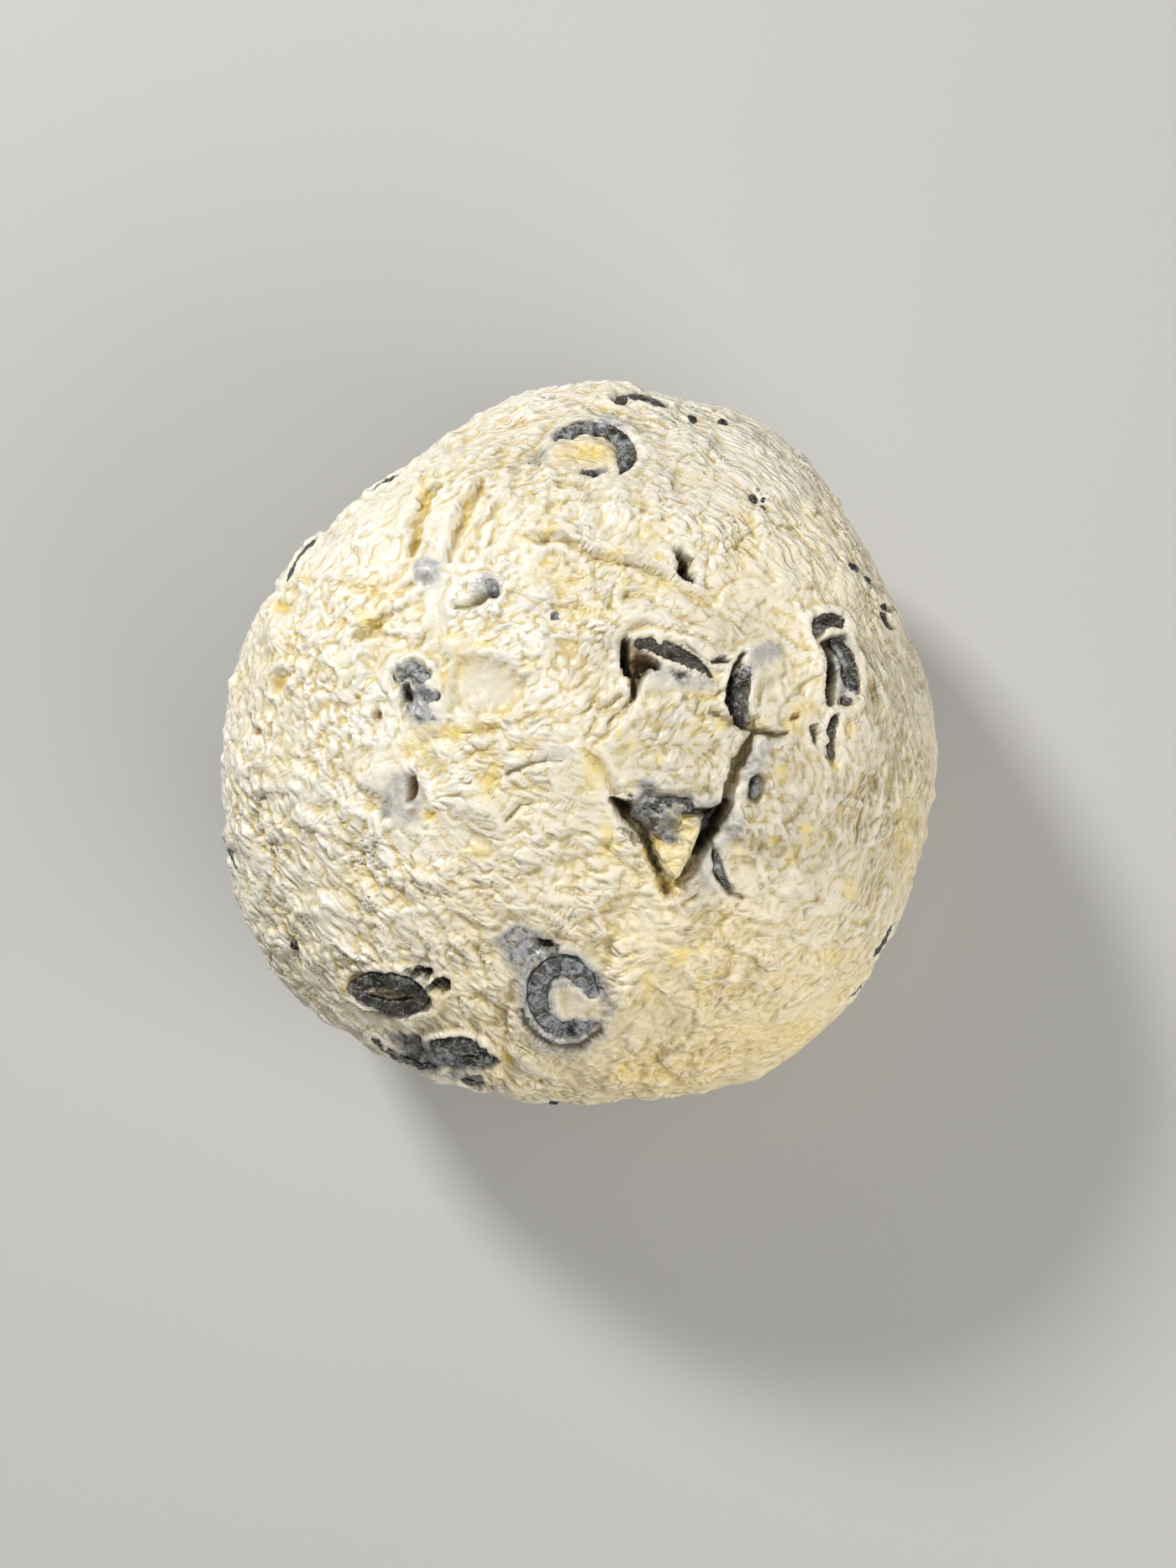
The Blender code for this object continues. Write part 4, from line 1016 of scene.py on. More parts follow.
def olive_slices():
    """List the olive slices: those seen, and those of the lower flank, evenly spaced round it."""
    slices = [
        olive("olive_ring_front", on_crown(-2.2, -37.4), (5.7, 3.8), RING, 3.2, 97, tilt=4,
              film=0.74, gap=0.2, lip=0.3, wrinkle=0.8, veil=0.0),
        olive("olive_oval_front_left", on_crown(-28.7, -37.3), (5.6, 2.5), RING, 3.0, 4,
              film=0.35, gap=0.7, lip=0.4, wrinkle=1.5, veil=0.0, point=0.45),
        olive("olive_ring_back", on_crown(2.4, 44.6), (5.2, 4.4), RING, 2.8, -25,
              film=0.6, gap=0.6, lip=0.5, veil=0.0),
        olive("olive_front_long", direction(240.6, 13.4), (4.8, 2.2), (170, 370), 2.6, -18,
              film=0.5, wrinkle=1.6),
        olive("olive_front_ring", direction(249.2, 22), (3.7, 2.0), RING, 2.8, -4, film=0.55, wrinkle=1.6),
        olive("olive_front_bit", direction(253, 12), (2.2, 1.4), (20, 250), 1.8, 0),
        olive("olive_left", on_crown(-23.6, 8.2), (4.0, 2.4), (-20, 235), 2.5, -62, proud=0.1,
              film=0.9, lip=0.3, veil=0.4),
        olive("olive_crown", on_crown(14.4, 12.6), (6.6, 3.0), (22, 158), 2.8, -27, tilt=18,
              film=0.25, reach=1.2, wrinkle=1.2),
        olive("olive_right_arc", on_crown(25.2, 8.6), (4.8, 2.8), (-12, 195), 2.6, 72, tilt=14,
              film=0.45, wrinkle=1.5),
        olive("olive_far_right_knob", on_crown(37.8, 17.9), (2.6, 1.7), (-20, 200), 2.2, 15, film=0.4),
        olive("olive_far_right_arc", on_crown(40.0, 11.2), (4.4, 2.0), (-5, 190), 2.4, -82, tilt=14,
              film=0.42),
        olive("olive_far_right_edge", on_crown(37.9, 1.4), (6.5, 6.5), (58, 122), 1.3, 82,
              film=0.0, reach=1.2),
        olive("olive_island_tip", on_crown(12.9, -8.0), (5.2, 2.2), (185, 350), 2.6, -4, tilt=-10,
              film=0.6, reach=1.0, veil=0.4, wrinkle=2.0),
        olive("olive_crack_edge", on_crown(21.2, -18.6), (7.0, 7.0), (243, 297), 1.3, -68,
              film=0.5, reach=1.0),
        olive("olive_crack_wall", on_crown(26.2, -6.2), (3.2, 3.2), (58, 122), 1.5, 80,
              film=0.5, reach=1.0),
        olive("olive_wedge", on_crown(-13.8, 23.2), (2.2, 1.6), (20, 165), 1.8, -20,
              film=1.0, veil=0.38, reach=1.4),
        olive("olive_back_edge", direction(80, 15), (3.2, 2.0), (-20, 205), 2.2, 4),
        olive("olive_back_left_high", direction(126, 7), (2.6, 1.4), (10, 190), 1.8, 0, veil=0.22),
        olive("olive_back_left_middle", direction(135, 7), (2.0, 1.4), (10, 190), 1.7, 30, veil=0.18),
        olive("olive_back_left_low", direction(146, 12), (3.4, 1.8), (-10, 210), 2.2, 60, veil=0.22),
        olive("olive_left_edge", direction(197, 8), (2.4, 1.4), (0, 180), 1.7, 95, veil=0.3),
        olive("olive_right_front_high", direction(327, 10), (3.2, 1.5), (180, 360), 2.0, 60),
        olive("olive_right_front_low", direction(319, 6), (1.8, 1.3), (180, 360), 1.6, 50),
        olive("olive_right_bit", direction(23, 18), (1.7, 1.4), (0, 220), 1.7, 70),
    ]
    for index in range(LOWER_COUNT):
        azimuth = LOWER_AZIMUTH + LOWER_AZIMUTH_STEP * index
        elevation = LOWER_ELEVATION + LOWER_ELEVATION_STEP * (index % LOWER_LEVELS)
        size = LOWER_SIZES[index % len(LOWER_SIZES)]
        toward, turn = direction(azimuth, elevation), LOWER_TURN * index
        name = f"olive_lower_{index + 1}"
        slices.append(olive(name, toward, size, LOWER_SWEEP, LOWER_WIDTH, turn, proud=LOWER_PROUD))
    return slices


def is_ring(entry):
    """Tell whether a slice is a whole ring."""
    return entry["sweep"][1] - entry["sweep"][0] >= 360


def slice_middle(entry):
    """Return the mean of (a cos t, b sin t) over a slice's sections in the solids."""
    low, high = entry["sweep"]
    steps = max(FEWEST_STEPS, math.ceil((high - low) / STATION_STEP))
    last = steps if is_ring(entry) else steps + 1
    angles = [math.radians(low + (high - low) * index / steps) for index in range(last)]
    x = sum(entry["size"][0] * math.cos(angle) for angle in angles) / len(angles)
    y = sum(entry["size"][1] * math.sin(angle) for angle in angles) / len(angles)
    return np.array([x, y, 0.0])


def placement(entry):
    """Return the turn and the place, in mm, that lay a slice on the ball: its middle under the skin."""
    points, normals = ellipsoid(entry["toward"][None])
    point = points[0] - normals[0] * flat_depth(points, normals)[0] + MIDDLE
    rotation = Vector((0, 0, 1)).rotation_difference(Vector(normals[0])).to_matrix()
    lying = Matrix.Rotation(math.radians(entry["turn"]), 3, "Z")
    leaning = Matrix.Rotation(math.radians(entry["tilt"]), 3, "X")
    sunk = np.array(rotation @ lying) @ np.array([0, 0, entry["proud"] - THICK / 2])
    return np.array(rotation @ lying @ leaning), point + sunk


def slice_taper(entry, share):
    """Return the share of the full section at a share of the sweep: least + more * root of sin(pi s)."""
    if is_ring(entry):
        return np.ones_like(share)
    return TAPER_LEAST + TAPER_MORE * np.sqrt(np.maximum(np.sin(np.pi * np.clip(share, 0, 1)), 0))


def slice_distance(entry, plane):
    """Return each place's distance to a slice in its plane: to its middle line, less half its width."""
    low, high = entry["sweep"]
    shares = np.linspace(0, 1, SLICE_STEPS)
    angles = np.radians(low + (high - low) * shares)
    line = np.stack([entry["size"][0] * np.cos(angles), entry["size"][1] * np.sin(angles)], axis=1)
    nearest = np.full(len(plane), np.inf)
    for index in range(len(line) - 1):
        away, part = from_stretch(plane, line[index], line[index + 1])
        taper = slice_taper(entry, shares[index] + part * (shares[index + 1] - shares[index]))
        nearest = np.minimum(nearest, np.linalg.norm(away, axis=1) - entry["width"] / 2 * taper)
    return nearest


def bed_slices(height, base, normals, flats, points, cover):
    """Return the heights with a bed for each slice: a lip at its edge, a narrow gap, and a hollow under it.

    In the slice's own frame the cheese stands a lip above it outside its outline, drops by
    gap * e^-((d - place) / width)^2 at a distance d from it, and lies under its top inside. A veil or
    a cover lifts it over the slice. Within the slice's reach this takes over from the free surface.
    """
    rough_salt, gap_salt, veil_salt = BED_SALTS
    top = THICK / 2
    for number, entry in enumerate(olive_slices()):
        turn, place = placement(entry)
        local = (base - place) @ turn + slice_middle(entry)
        near = np.abs(local).max(axis=1) < max(entry["size"]) + BED_MARGIN
        some, here = local[near], points[near]
        rough = gradient_noise(here / BED_ROUGH_SIZE, rough_salt + number)
        ragged = slice_distance(entry, some[:, :2]) + BED_RAGGED * rough
        outside = top - entry["proud"] + entry["lip"] + BED_ROUGH * rough
        uneven = GAP_LEAST + GAP_CHANGE * gradient_noise(here / GAP_SIZE, gap_salt + number)
        gap = entry["gap"] * np.exp(-((ragged - GAP_PLACE) / GAP_WIDTH) ** 2) * uneven
        inside = top - BED_DEPTH
        on = smooth_step(*BED_EDGE, ragged)
        level = outside * (1 - on) + inside * on - np.maximum(gap, 0)
        patches = entry["veil"] + VEIL_CHANGE * gradient_noise(here / VEIL_SIZE, veil_salt + number)
        hidden = np.maximum(smooth_step(*VEIL_EDGE, patches), cover[near])
        level = level * (1 - hidden) + (top + VEIL_HEIGHT + VEIL_ROUGH * rough) * hidden
        upright = np.maximum(normals[near] @ turn[:, 2], LEAST_UPRIGHT)
        wanted = -flats[near] + (level - some[:, 2]) / upright
        blend = smooth_step(entry["reach"], BED_END, ragged)
        height[near] = height[near] * (1 - blend) + wanted * blend
    return height


def below_neighbours(height, quads, rounds):
    """Return how far each height lies below the mean round it, averaged over some rounds of edges."""
    ends = np.concatenate([quads[:, [side, (side + 1) % 4]] for side in range(4)])
    first, second = np.concatenate([ends, ends[:, ::-1]]).T
    count = np.bincount(first, minlength=len(height))
    mean = height
    for _ in range(rounds):
        mean = np.bincount(first, weights=mean[second], minlength=len(height)) / count
    return mean - height


def painted_shade_yellowing(points):
    """Return the painted shade that makes the cheese yellower on the sides turned from the key lamp: more
    towards the front, right of the middle, and at the right.
    """
    front = smooth_step(*FRONT_REACH, -points[:, 1]) * smooth_step(*FRONT_SIDE, points[:, 0])
    middle = smooth_step(*MIDDLE_REACH, points[:, 0] - points[:, 1])
    right = smooth_step(*RIGHT_REACH, points[:, 0])
    return np.clip(FRONT_WARMTH * front + MIDDLE_WARMTH * middle + RIGHT_WARMTH * right, 0, 1)


def smooth_share(seen):
    """Return how much relief is left: each smooth oval takes its share of e^(-r^4)."""
    left = np.ones(len(seen))
    for place, half_sizes, share in SMOOTH:
        left *= 1 - share * oval_mask(seen, place, half_sizes, SMOOTH_POWER)
    return left


def fold_relief(points, normals, seen, smooth):
    """Return the height of the folds in mm, how calm each place is, and the weight of each lie.

    The blended noises give broad swells, pillows |n|^p and lapping edges, times the region's height;
    the edges of sheets and flakes are added, and it is lower near the foot and in calm patches.
    """
    noises, strength, lay_weights = region_noise(points, seen)
    broad, main, small = noises.T
    pillows = MAIN * pillow(main, MAIN_POWER) + SMALL * pillow(small, 1.0)
    relief = strength * (BROAD * broad + pillows + LAPS * overlap(main, LAP_STEP, LAP_REACH))
    sheets = gradient_noise(warp(points, *SHEET_WARP) / SHEETS[0], SHEETS[1])
    flakes = gradient_noise(warp(points, *FLAKE_WARP) / FLAKES[0], FLAKES[1])
    edges = SHEET_EDGE * overlap(sheets, EDGE_STEP, EDGE_REACH)
    relief += edges + FLAKE_EDGE * overlap(flakes, FLAKE_STEP, EDGE_REACH) - RELIEF_DROP
    upper = smooth_step(*OUTLINE_RANGE, normals[:, 2])
    calm = smooth_step(*CALM_RANGE, gradient_noise(points / CALM_SIZE, CALM_SALT))
    relief *= smooth * (OUTLINE_LEAST + OUTLINE_MORE * upper) * (CALM_LEAST + CALM_MORE * calm)
    return relief, calm, lay_weights


def settle(place, points, relief):
    """Squeeze the top above its limit by a share, keep z over the floor, and dimple the underside.

    Underneath, z is at least the part of a noise above its threshold plus a share of the folds.
    """
    place[:, 2] -= TOP_SQUEEZE * np.maximum(place[:, 2] - TOP, 0)
    place[:, 2] = np.maximum(place[:, 2], 0)
    under = (points[:, 2] + MIDDLE[2] < UNDERSIDE) & (place[:, 2] < UNDERSIDE)
    noise = gradient_noise(points / DIMPLE_SIZE, DIMPLE_SALT)
    dimples = np.maximum(noise - DIMPLE_FROM, 0) * DIMPLE_HEIGHT + DIMPLE_FOLDS * np.maximum(relief, 0)
    place[:, 2] = np.where(under, np.maximum(place[:, 2], dimples), place[:, 2])


def make_cheese(material):
    """Make the cheese: each point of the ball moved along its normal by all the heights together.

    height = lumps - flats + folds + ledges + mounds + shapes + lips, bedded for the slices, less the
    cracks. A valley or trough is how far it lies below the mean of few or many neighbours.
    """
    directions, quads = wrap_directions()
    points, normals = ellipsoid(directions)
    flats = flat_depth(points, normals)
    base = points - normals * flats[:, None] + MIDDLE
    seen = view_px(base)
    seen[points[:, 2] < UNSEEN_BELOW] = UNSEEN_PX
    smooth = smooth_share(seen)
    relief, calm, lay_weights = fold_relief(points, normals, seen, smooth)
    cuts, lips, dark = crack_cut(points, seen)
    shape_height, colours, cover = shape_marks(points, seen)
    mounds = sum(rise * oval_mask(seen, where, sizes, MOUND_POWER) for where, sizes, rise in MOUNDS)
    height = noise_sum(points, LUMPS) * (LUMP_LEAST + LUMP_MORE * smooth) - flats + relief
    height = height + ledge_height(points, seen) + mounds + shape_height + lips - SURFACE_DROP
    height = bed_slices(height, base, normals, flats, points, cover) - cuts
    plain = np.maximum(height, -flats - DEEPEST_COLOURED)
    valley = below_neighbours(plain, quads, VALLEY_ROUNDS) / VALLEY_DEPTH
    trough = below_neighbours(plain, quads, TROUGH_ROUNDS) / TROUGH_DEPTH
    place = points + normals * height[:, None] + MIDDLE
    settle(place, points, relief)
    edge = noise_sum(points, MARK_WANDER)
    attributes = {
        "film": np.maximum(FILM_SHARE * painted(seen, FILMS, edge, FILM_POWER), colours["film"]),
        "oil": np.maximum(painted(seen, OILS, edge, OIL_POWER), colours["oil"]),
        # near black: painted shade at crack bottoms and in pits and gaps, and dark spots in the film
        "dark": np.maximum(dark, colours["dark"]),
        # painted shade in the pits
        "pit": colours["pit"],
        # painted shade: yellower on the sides turned from the key lamp
        "shade_yellowing": painted_shade_yellowing(points),
        # painted shade over whole places
        "painted_shade": painted(seen, PAINTED_SHADE_PLACES, edge, PAINTED_SHADE_POWER),
        # valley and trough: painted shade in the creases, painted highlight on the ridges
        "valley": np.clip(valley, -1, 1),
        "trough": np.clip(trough, -1, 1),
        # pores, their insides painted darker as shade
        "pores": painted(seen, PORES, edge, PORE_POWER) * smooth,
        "brown": painted(seen, BROWNS, BROWN_EDGE * edge, BROWN_POWER),
        # painted shade at the bottoms of cracks
        "deep": np.clip(cuts / DEEP_CRACK, 0, 1),
        "rough": smooth * (ROUGH_LEAST + ROUGH_MORE * calm),
        # painted shade: yellower in the low places of the folds
        "hollow": np.clip(HOLLOW_LEVEL - HOLLOW_SLOPE * relief, 0, 1),
    }
    attributes.update({f"lay_{number}": weight for number, weight in enumerate(lay_weights)})
    return make_mesh("cheese_surface", place, quads, material, attributes)


def stacked(*parts):
    """Return arrays, spread to one shape, as the columns of a list."""
    return np.stack([part.ravel() for part in np.broadcast_arrays(*parts)], axis=1)


def join_grid(rows, columns, closed_rows):
    """Return the faces of a grid whose columns close on themselves, and whose rows may."""
    index = np.arange(rows * columns).reshape(rows, columns)
    following = np.roll(index, -1, axis=0) if closed_rows else index[1:]
    here = index if closed_rows else index[:-1]
    beside = np.roll(here, -1, axis=1)
    beyond = np.roll(following, -1, axis=1)
    return np.stack([here, beside, beyond, following], axis=-1).reshape(-1, 4)


def signed_root(value):
    """Return sign(v) |v|^p with p under 1, which squares off a round section."""
    return np.sign(value) * np.abs(value) ** SECTION_POWER


def wrinkled(flat, normal, full, entry, number):
    """Return a slice's places moved out by creases, |noise|^p and |noise|, and its top bent by noise."""
    offset = np.array(SLICE_SHIFT) * number
    bent = warp(flat, *WRINKLE_WARP) / WRINKLE_SIZE + offset
    wrinkle = np.abs(gradient_noise(bent, WRINKLE_SALT)) ** WRINKLE_POWER - WRINKLE_MEAN
    fine = np.abs(gradient_noise(flat / FINE_SIZE + offset, FINE_SALT)) - FINE_MEAN
    bend = gradient_noise(flat / BEND_SIZE + offset, BEND_SALT)
    rise = (WRINKLE_HEIGHT * wrinkle + FINE_HEIGHT * fine - WRINKLE_DROP) * entry["wrinkle"]
    flat = flat + normal * (rise * np.minimum(full, 1))[:, None]
    flat[:, 2] += BEND * bend * (flat[:, 2] > 0)
    return flat


def closed_ends(world, faces, rows, columns):
    """Return the places with the middle of each end added, and triangles that fan out from it."""
    first, last = np.arange(columns), np.arange(columns) + (rows - 1) * columns
    middles = [world[first[::-1]].mean(axis=0), world[last].mean(axis=0)]
    base = rows * columns
    start = np.stack([np.full(columns, base), np.roll(first, -1), first], axis=1)
    end = np.stack([np.full(columns, base + 1), last, np.roll(last, -1)], axis=1)
    triangles = np.concatenate([faces[:, [0, 1, 2]], faces[:, [0, 2, 3]], start, end])
    return np.concatenate([world, middles]), triangles


def make_slice(entry, number, material):
    """Make one slice: a rounded box section along an ellipse, wrinkled, and closed at its ends.

    A place is ((a + w c) cos t, (b + w c) sin t, h s), with c and s signed roots of the section's
    cosine and sine. An open slice narrows to its ends as the root of 1 - |2u - 1|^14.
    """
    ring = is_ring(entry)
    rows, columns = RING_GRID if ring else OPEN_GRID
    share = np.arange(rows) / rows if ring else np.linspace(0, 1, rows)
    low, high = entry["sweep"]
    angle = np.radians(low + (high - low) * share)[:, None]
    turn = (np.arange(columns) / columns * 2 * math.pi)[None]
    taper = slice_taper(entry, share)
    if not ring:
        taper = taper * np.sqrt(np.maximum(1 - np.abs(2 * share - 1) ** END_POWER, 0)) + END_LEAST
    taper = taper[:, None]
    across = signed_root(np.cos(turn)) * entry["width"] / 2 * taper
    narrow = 1 - entry["point"] * np.maximum(-np.cos(angle), 0) ** 2
    x = (entry["size"][0] + across) * np.cos(angle)
    y = (entry["size"][1] + across) * np.sin(angle) * narrow
    flat = stacked(x, y, signed_root(np.sin(turn)) * THICK / 2 * taper)
    normal = stacked(np.cos(turn) * np.cos(angle), np.cos(turn) * np.sin(angle), np.sin(turn))
    skin = smooth_step(*SKIN_EDGE, np.cos(turn))
    full, skin, around_x, around_y = stacked(taper, skin, np.cos(angle), np.sin(angle)).T
    flat = wrinkled(flat, normal, full, entry, number)
    matrix, place = placement(entry)
    world = (flat - slice_middle(entry)) @ matrix.T + place
    faces = join_grid(rows, columns, ring)
    film = np.full(len(skin), entry["film"])
    attributes = {"skin": skin, "film": film, "around_x": around_x, "around_y": around_y}
    if not ring:
        world, faces = closed_ends(world, faces, rows, columns)
        attributes = {key: np.concatenate([item, item[[0, -1]]]) for key, item in attributes.items()}
    return make_mesh(entry["name"] + "_look", world, faces, material, attributes)


def make_specks(material):
    """Make the chopped bits: small balls r (1 + noise), sunk in the cheese."""
    polar = np.linspace(0, math.pi, SPECK_ROWS)[:, None]
    turn = (np.arange(SPECK_COLUMNS) / SPECK_COLUMNS * 2 * math.pi)[None]
    ball = stacked(np.sin(polar) * np.cos(turn), np.sin(polar) * np.sin(turn), np.cos(polar))
    faces = join_grid(SPECK_ROWS, SPECK_COLUMNS, False)[:, ::-1]
    all_points, all_faces = [], []
    for number, (azimuth, elevation, radius) in enumerate(SPECKS):
        points, normals = ellipsoid(direction(azimuth, elevation)[None])
        rise = noise_sum(points, LUMPS)[0] - flat_depth(points, normals)[0]
        middle = points[0] + normals[0] * (rise - radius * SPECK_SINK) + MIDDLE
        rough = 1 + SPECK_ROUGH * gradient_noise(ball * SPECK_SCALE + SPECK_SHIFT * number, SPECK_SALT)
        all_faces.append(faces + len(ball) * number)
        all_points.append(middle + ball * radius * rough[:, None])
    points = np.concatenate(all_points)
    values = {"skin": 1, "film": SPECK_FILM, "around_x": 0, "around_y": 0}
    attributes = {key: np.full(len(points), value, float) for key, value in values.items()}
    return make_mesh("olive_specks", points, np.concatenate(all_faces), material, attributes)


class Nodes:
    """Shorthand for building a node tree."""

    def __init__(self, tree):
        self.tree = tree

    def put(self, socket, value):
        """Link a socket to another, or set its value; a colour gets its fourth number."""
        if isinstance(value, bpy.types.NodeSocket):
            self.tree.links.new(value, socket)
        elif socket.type == "RGBA":
            socket.default_value = (*value, 1)
        else:
            socket.default_value = value

    def add(self, kind, inputs=None, **settings):
        """Add a node; inputs maps socket names or numbers to values or sockets."""
        node = self.tree.nodes.new(kind)
        for key, value in settings.items():
            setattr(node, key, value)
        for key, value in (inputs or {}).items():
            self.put(node.inputs[key], value)
        return node

    def attribute(self, name):
        """Return a float attribute's value."""
        return self.add("ShaderNodeAttribute", attribute_name=name).outputs["Fac"]

    def noise(self, place, scale, detail=2.0, rough=0.5, distortion=0.0):
        """Return noise of a scale per metre."""
        inputs = {"Vector": place, "Scale": scale, "Detail": detail, "Roughness": rough}
        inputs["Distortion"] = distortion
        return self.add("ShaderNodeTexNoise", inputs).outputs["Fac"]

    def remap(self, value, low, high, to_low=0.0, to_high=1.0):
        """Map a range to another, clamped and smooth."""
        inputs = {"Value": value, "From Min": low, "From Max": high, "To Min": to_low, "To Max": to_high}
        return self.add("ShaderNodeMapRange", inputs, interpolation_type="SMOOTHSTEP").outputs["Result"]

    def math(self, operation, first, second=0.0, third=0.0):
        """Do arithmetic."""
        return self.add("ShaderNodeMath", {0: first, 1: second, 2: third}, operation=operation).outputs[0]

    def times(self, first, second):
        """Return the product of two values."""
        return self.math("MULTIPLY", first, second)

    def move(self, operation, first, second):
        """Do arithmetic with two vectors."""
        return self.add("ShaderNodeVectorMath", {0: first, 1: second}, operation=operation).outputs[0]

    def mix(self, share, first, second):
        """Blend two colours."""
        return self.add("ShaderNodeMix", {0: share, 6: first, 7: second}, data_type="RGBA").outputs[2]

    def bump(self, height, strength, distance, **inputs):
        """Return the normal bent by a height."""
        inputs.update({"Height": height, "Strength": strength, "Distance": distance})
        return self.add("ShaderNodeBump", inputs).outputs[0]


def new_material(name, roughness, specular):
    """Make a Principled material; return it with its shader's sockets, nodes and Object coordinates."""
    material = bpy.data.materials.new(name)
    material.use_nodes = True
    sockets = material.node_tree.nodes["Principled BSDF"].inputs
    sockets["Roughness"].default_value = roughness
    sockets["Specular IOR Level"].default_value = specular
    nodes = Nodes(material.node_tree)
    return material, sockets, nodes, nodes.add("ShaderNodeTexCoord").outputs["Object"]


def bent_place(nodes, place, scale, amount):
    """Return p + amount * colour noise, which shifts a place to and fro."""
    inputs = {"Vector": place, "Scale": scale, "Detail": 0.0}
    bend = nodes.add("ShaderNodeTexNoise", inputs).outputs["Color"]
    return nodes.move("ADD", place, nodes.move("MULTIPLY", bend, (amount, amount, amount)))


def laid(nodes, place, lie, stretch):
    """Return a place squeezed along a lie in plan, or round the ball where the lie is None.

    That is p - a (p . a)(1 - 1 / stretch), or (x / stretch, y / stretch, |x, y| - z).
    """
    if lie is None:
        x, y, z = nodes.add("ShaderNodeSeparateXYZ", {0: place}).outputs
        plan = nodes.math("SQRT", nodes.math("ADD", nodes.times(x, x), nodes.times(y, y)))
        narrow = [nodes.math("DIVIDE", value, stretch) for value in (x, y)]
        parts = {0: narrow[0], 1: narrow[1], 2: nodes.math("SUBTRACT", plan, z)}
        return nodes.add("ShaderNodeCombineXYZ", parts).outputs[0]
    along = direction(lie, 0)
    dot = nodes.add("ShaderNodeVectorMath", {0: place, 1: along}, operation="DOT_PRODUCT")
    run = nodes.times(dot.outputs["Value"], 1 - 1 / stretch)
    back = nodes.add("ShaderNodeVectorMath", {0: along, "Scale": run}, operation="SCALE").outputs[0]
    return nodes.move("SUBTRACT", place, back)


def fold_bump(nodes, place):
    """Return the height of the finest folds, their lie following the lay attributes.

    With t the blended noise about 0, a fold is the root of t^2 + a small number, which rounds its valley.
    """
    bent = bent_place(nodes, place, *FOLD_BEND)
    total = None
    for number, (lie, stretch, size) in enumerate(LAYS):
        noise = nodes.noise(laid(nodes, bent, lie, stretch), FOLD_SCALE / size, *FOLD_DETAIL)
        part = nodes.times(nodes.math("SUBTRACT", noise, 0.5), nodes.attribute(f"lay_{number}"))
        total = part if total is None else nodes.math("ADD", total, part)
    total = nodes.times(total, FOLD_GAIN)
    return nodes.math("SQRT", nodes.math("MULTIPLY_ADD", total, total, FOLD_ROUND))


def pore_spots(nodes, place):
    """Return small round spots, a smooth step of 1 - distance / size, whose size is random in each cell."""
    bent = bent_place(nodes, place, *PORE_BEND)
    cells = nodes.add("ShaderNodeTexVoronoi", {"Vector": bent, "Scale": PORE_SCALE})
    size = nodes.math("MAXIMUM", nodes.remap(cells.outputs["Color"], *PORE_SIZE), PORE_LEAST)
    spot = nodes.math("SUBTRACT", 1.0, nodes.math("DIVIDE", cells.outputs["Distance"], size))
    return nodes.times(nodes.remap(spot, *PORE_EDGE), nodes.attribute("pores"))


def cream_colour_with_painted_light(nodes, place, folds):
    """Return the cheese's colour: patches, then painted shade in hollows and creases, on the sides turned
    from the key lamp and over shaded places, and a painted highlight on ridges.
    """
    def attribute(name, *values):
        """Return an attribute, remapped."""
        return nodes.remap(nodes.attribute(name), *values)

    patches = nodes.remap(nodes.noise(place, *PATCHES), *PATCH_RANGE)
    colour = nodes.mix(patches, CREAM, CREAM_PALE)
    small = nodes.remap(nodes.noise(place, *SPOTS), *SPOT_RANGE)
    # painted shade: the valleys of the finest folds and the creases and troughs of the mesh turn darker
    valley = nodes.times(nodes.remap(folds, *FOLD_VALLEYS), nodes.attribute("rough"))
    creases = nodes.times(attribute("valley", *CREASE_RANGE), CREASE_SHARE)
    troughs = nodes.times(attribute("trough", *TROUGH_RANGE), TROUGH_SHARE)
    low = nodes.math("MAXIMUM", creases, troughs)
    for share, over in [
        (nodes.times(small, SPOT_SHARE), CREAM_YELLOW),
        # painted shade: yellower in the low places of the folds
        (attribute("hollow", *HOLLOW_RANGE), PAINTED_HOLLOW_SHADE),
        (nodes.times(valley, VALLEY_SHARE), PAINTED_CREASE_SHADE),
        # painted shade: yellower on the sides turned from the key lamp
        (nodes.times(nodes.attribute("shade_yellowing"), SHADE_YELLOW_SHARE), CREAM_SHADE_YELLOW),
        # painted shade over whole places
        (nodes.times(nodes.attribute("painted_shade"), PAINTED_SHADE_SHARE), CREAM_SHADED),
        # painted shade in the creases and troughs, deeper in the shaded places
        (low, PAINTED_CREASE_SHADE),
        (nodes.times(nodes.times(low, nodes.attribute("painted_shade")), CREASE_SHADED_SHARE), CREASE_SHADED),
        # painted highlight: ridges turn paler
        (attribute("trough", *RIDGE_HIGHLIGHT_RANGE), CREAM_PALE),
        (attribute("rough", *SMEARED_RANGE), CREAM_DULL),
    ]:
        colour = nodes.mix(share, colour, over)
    return colour


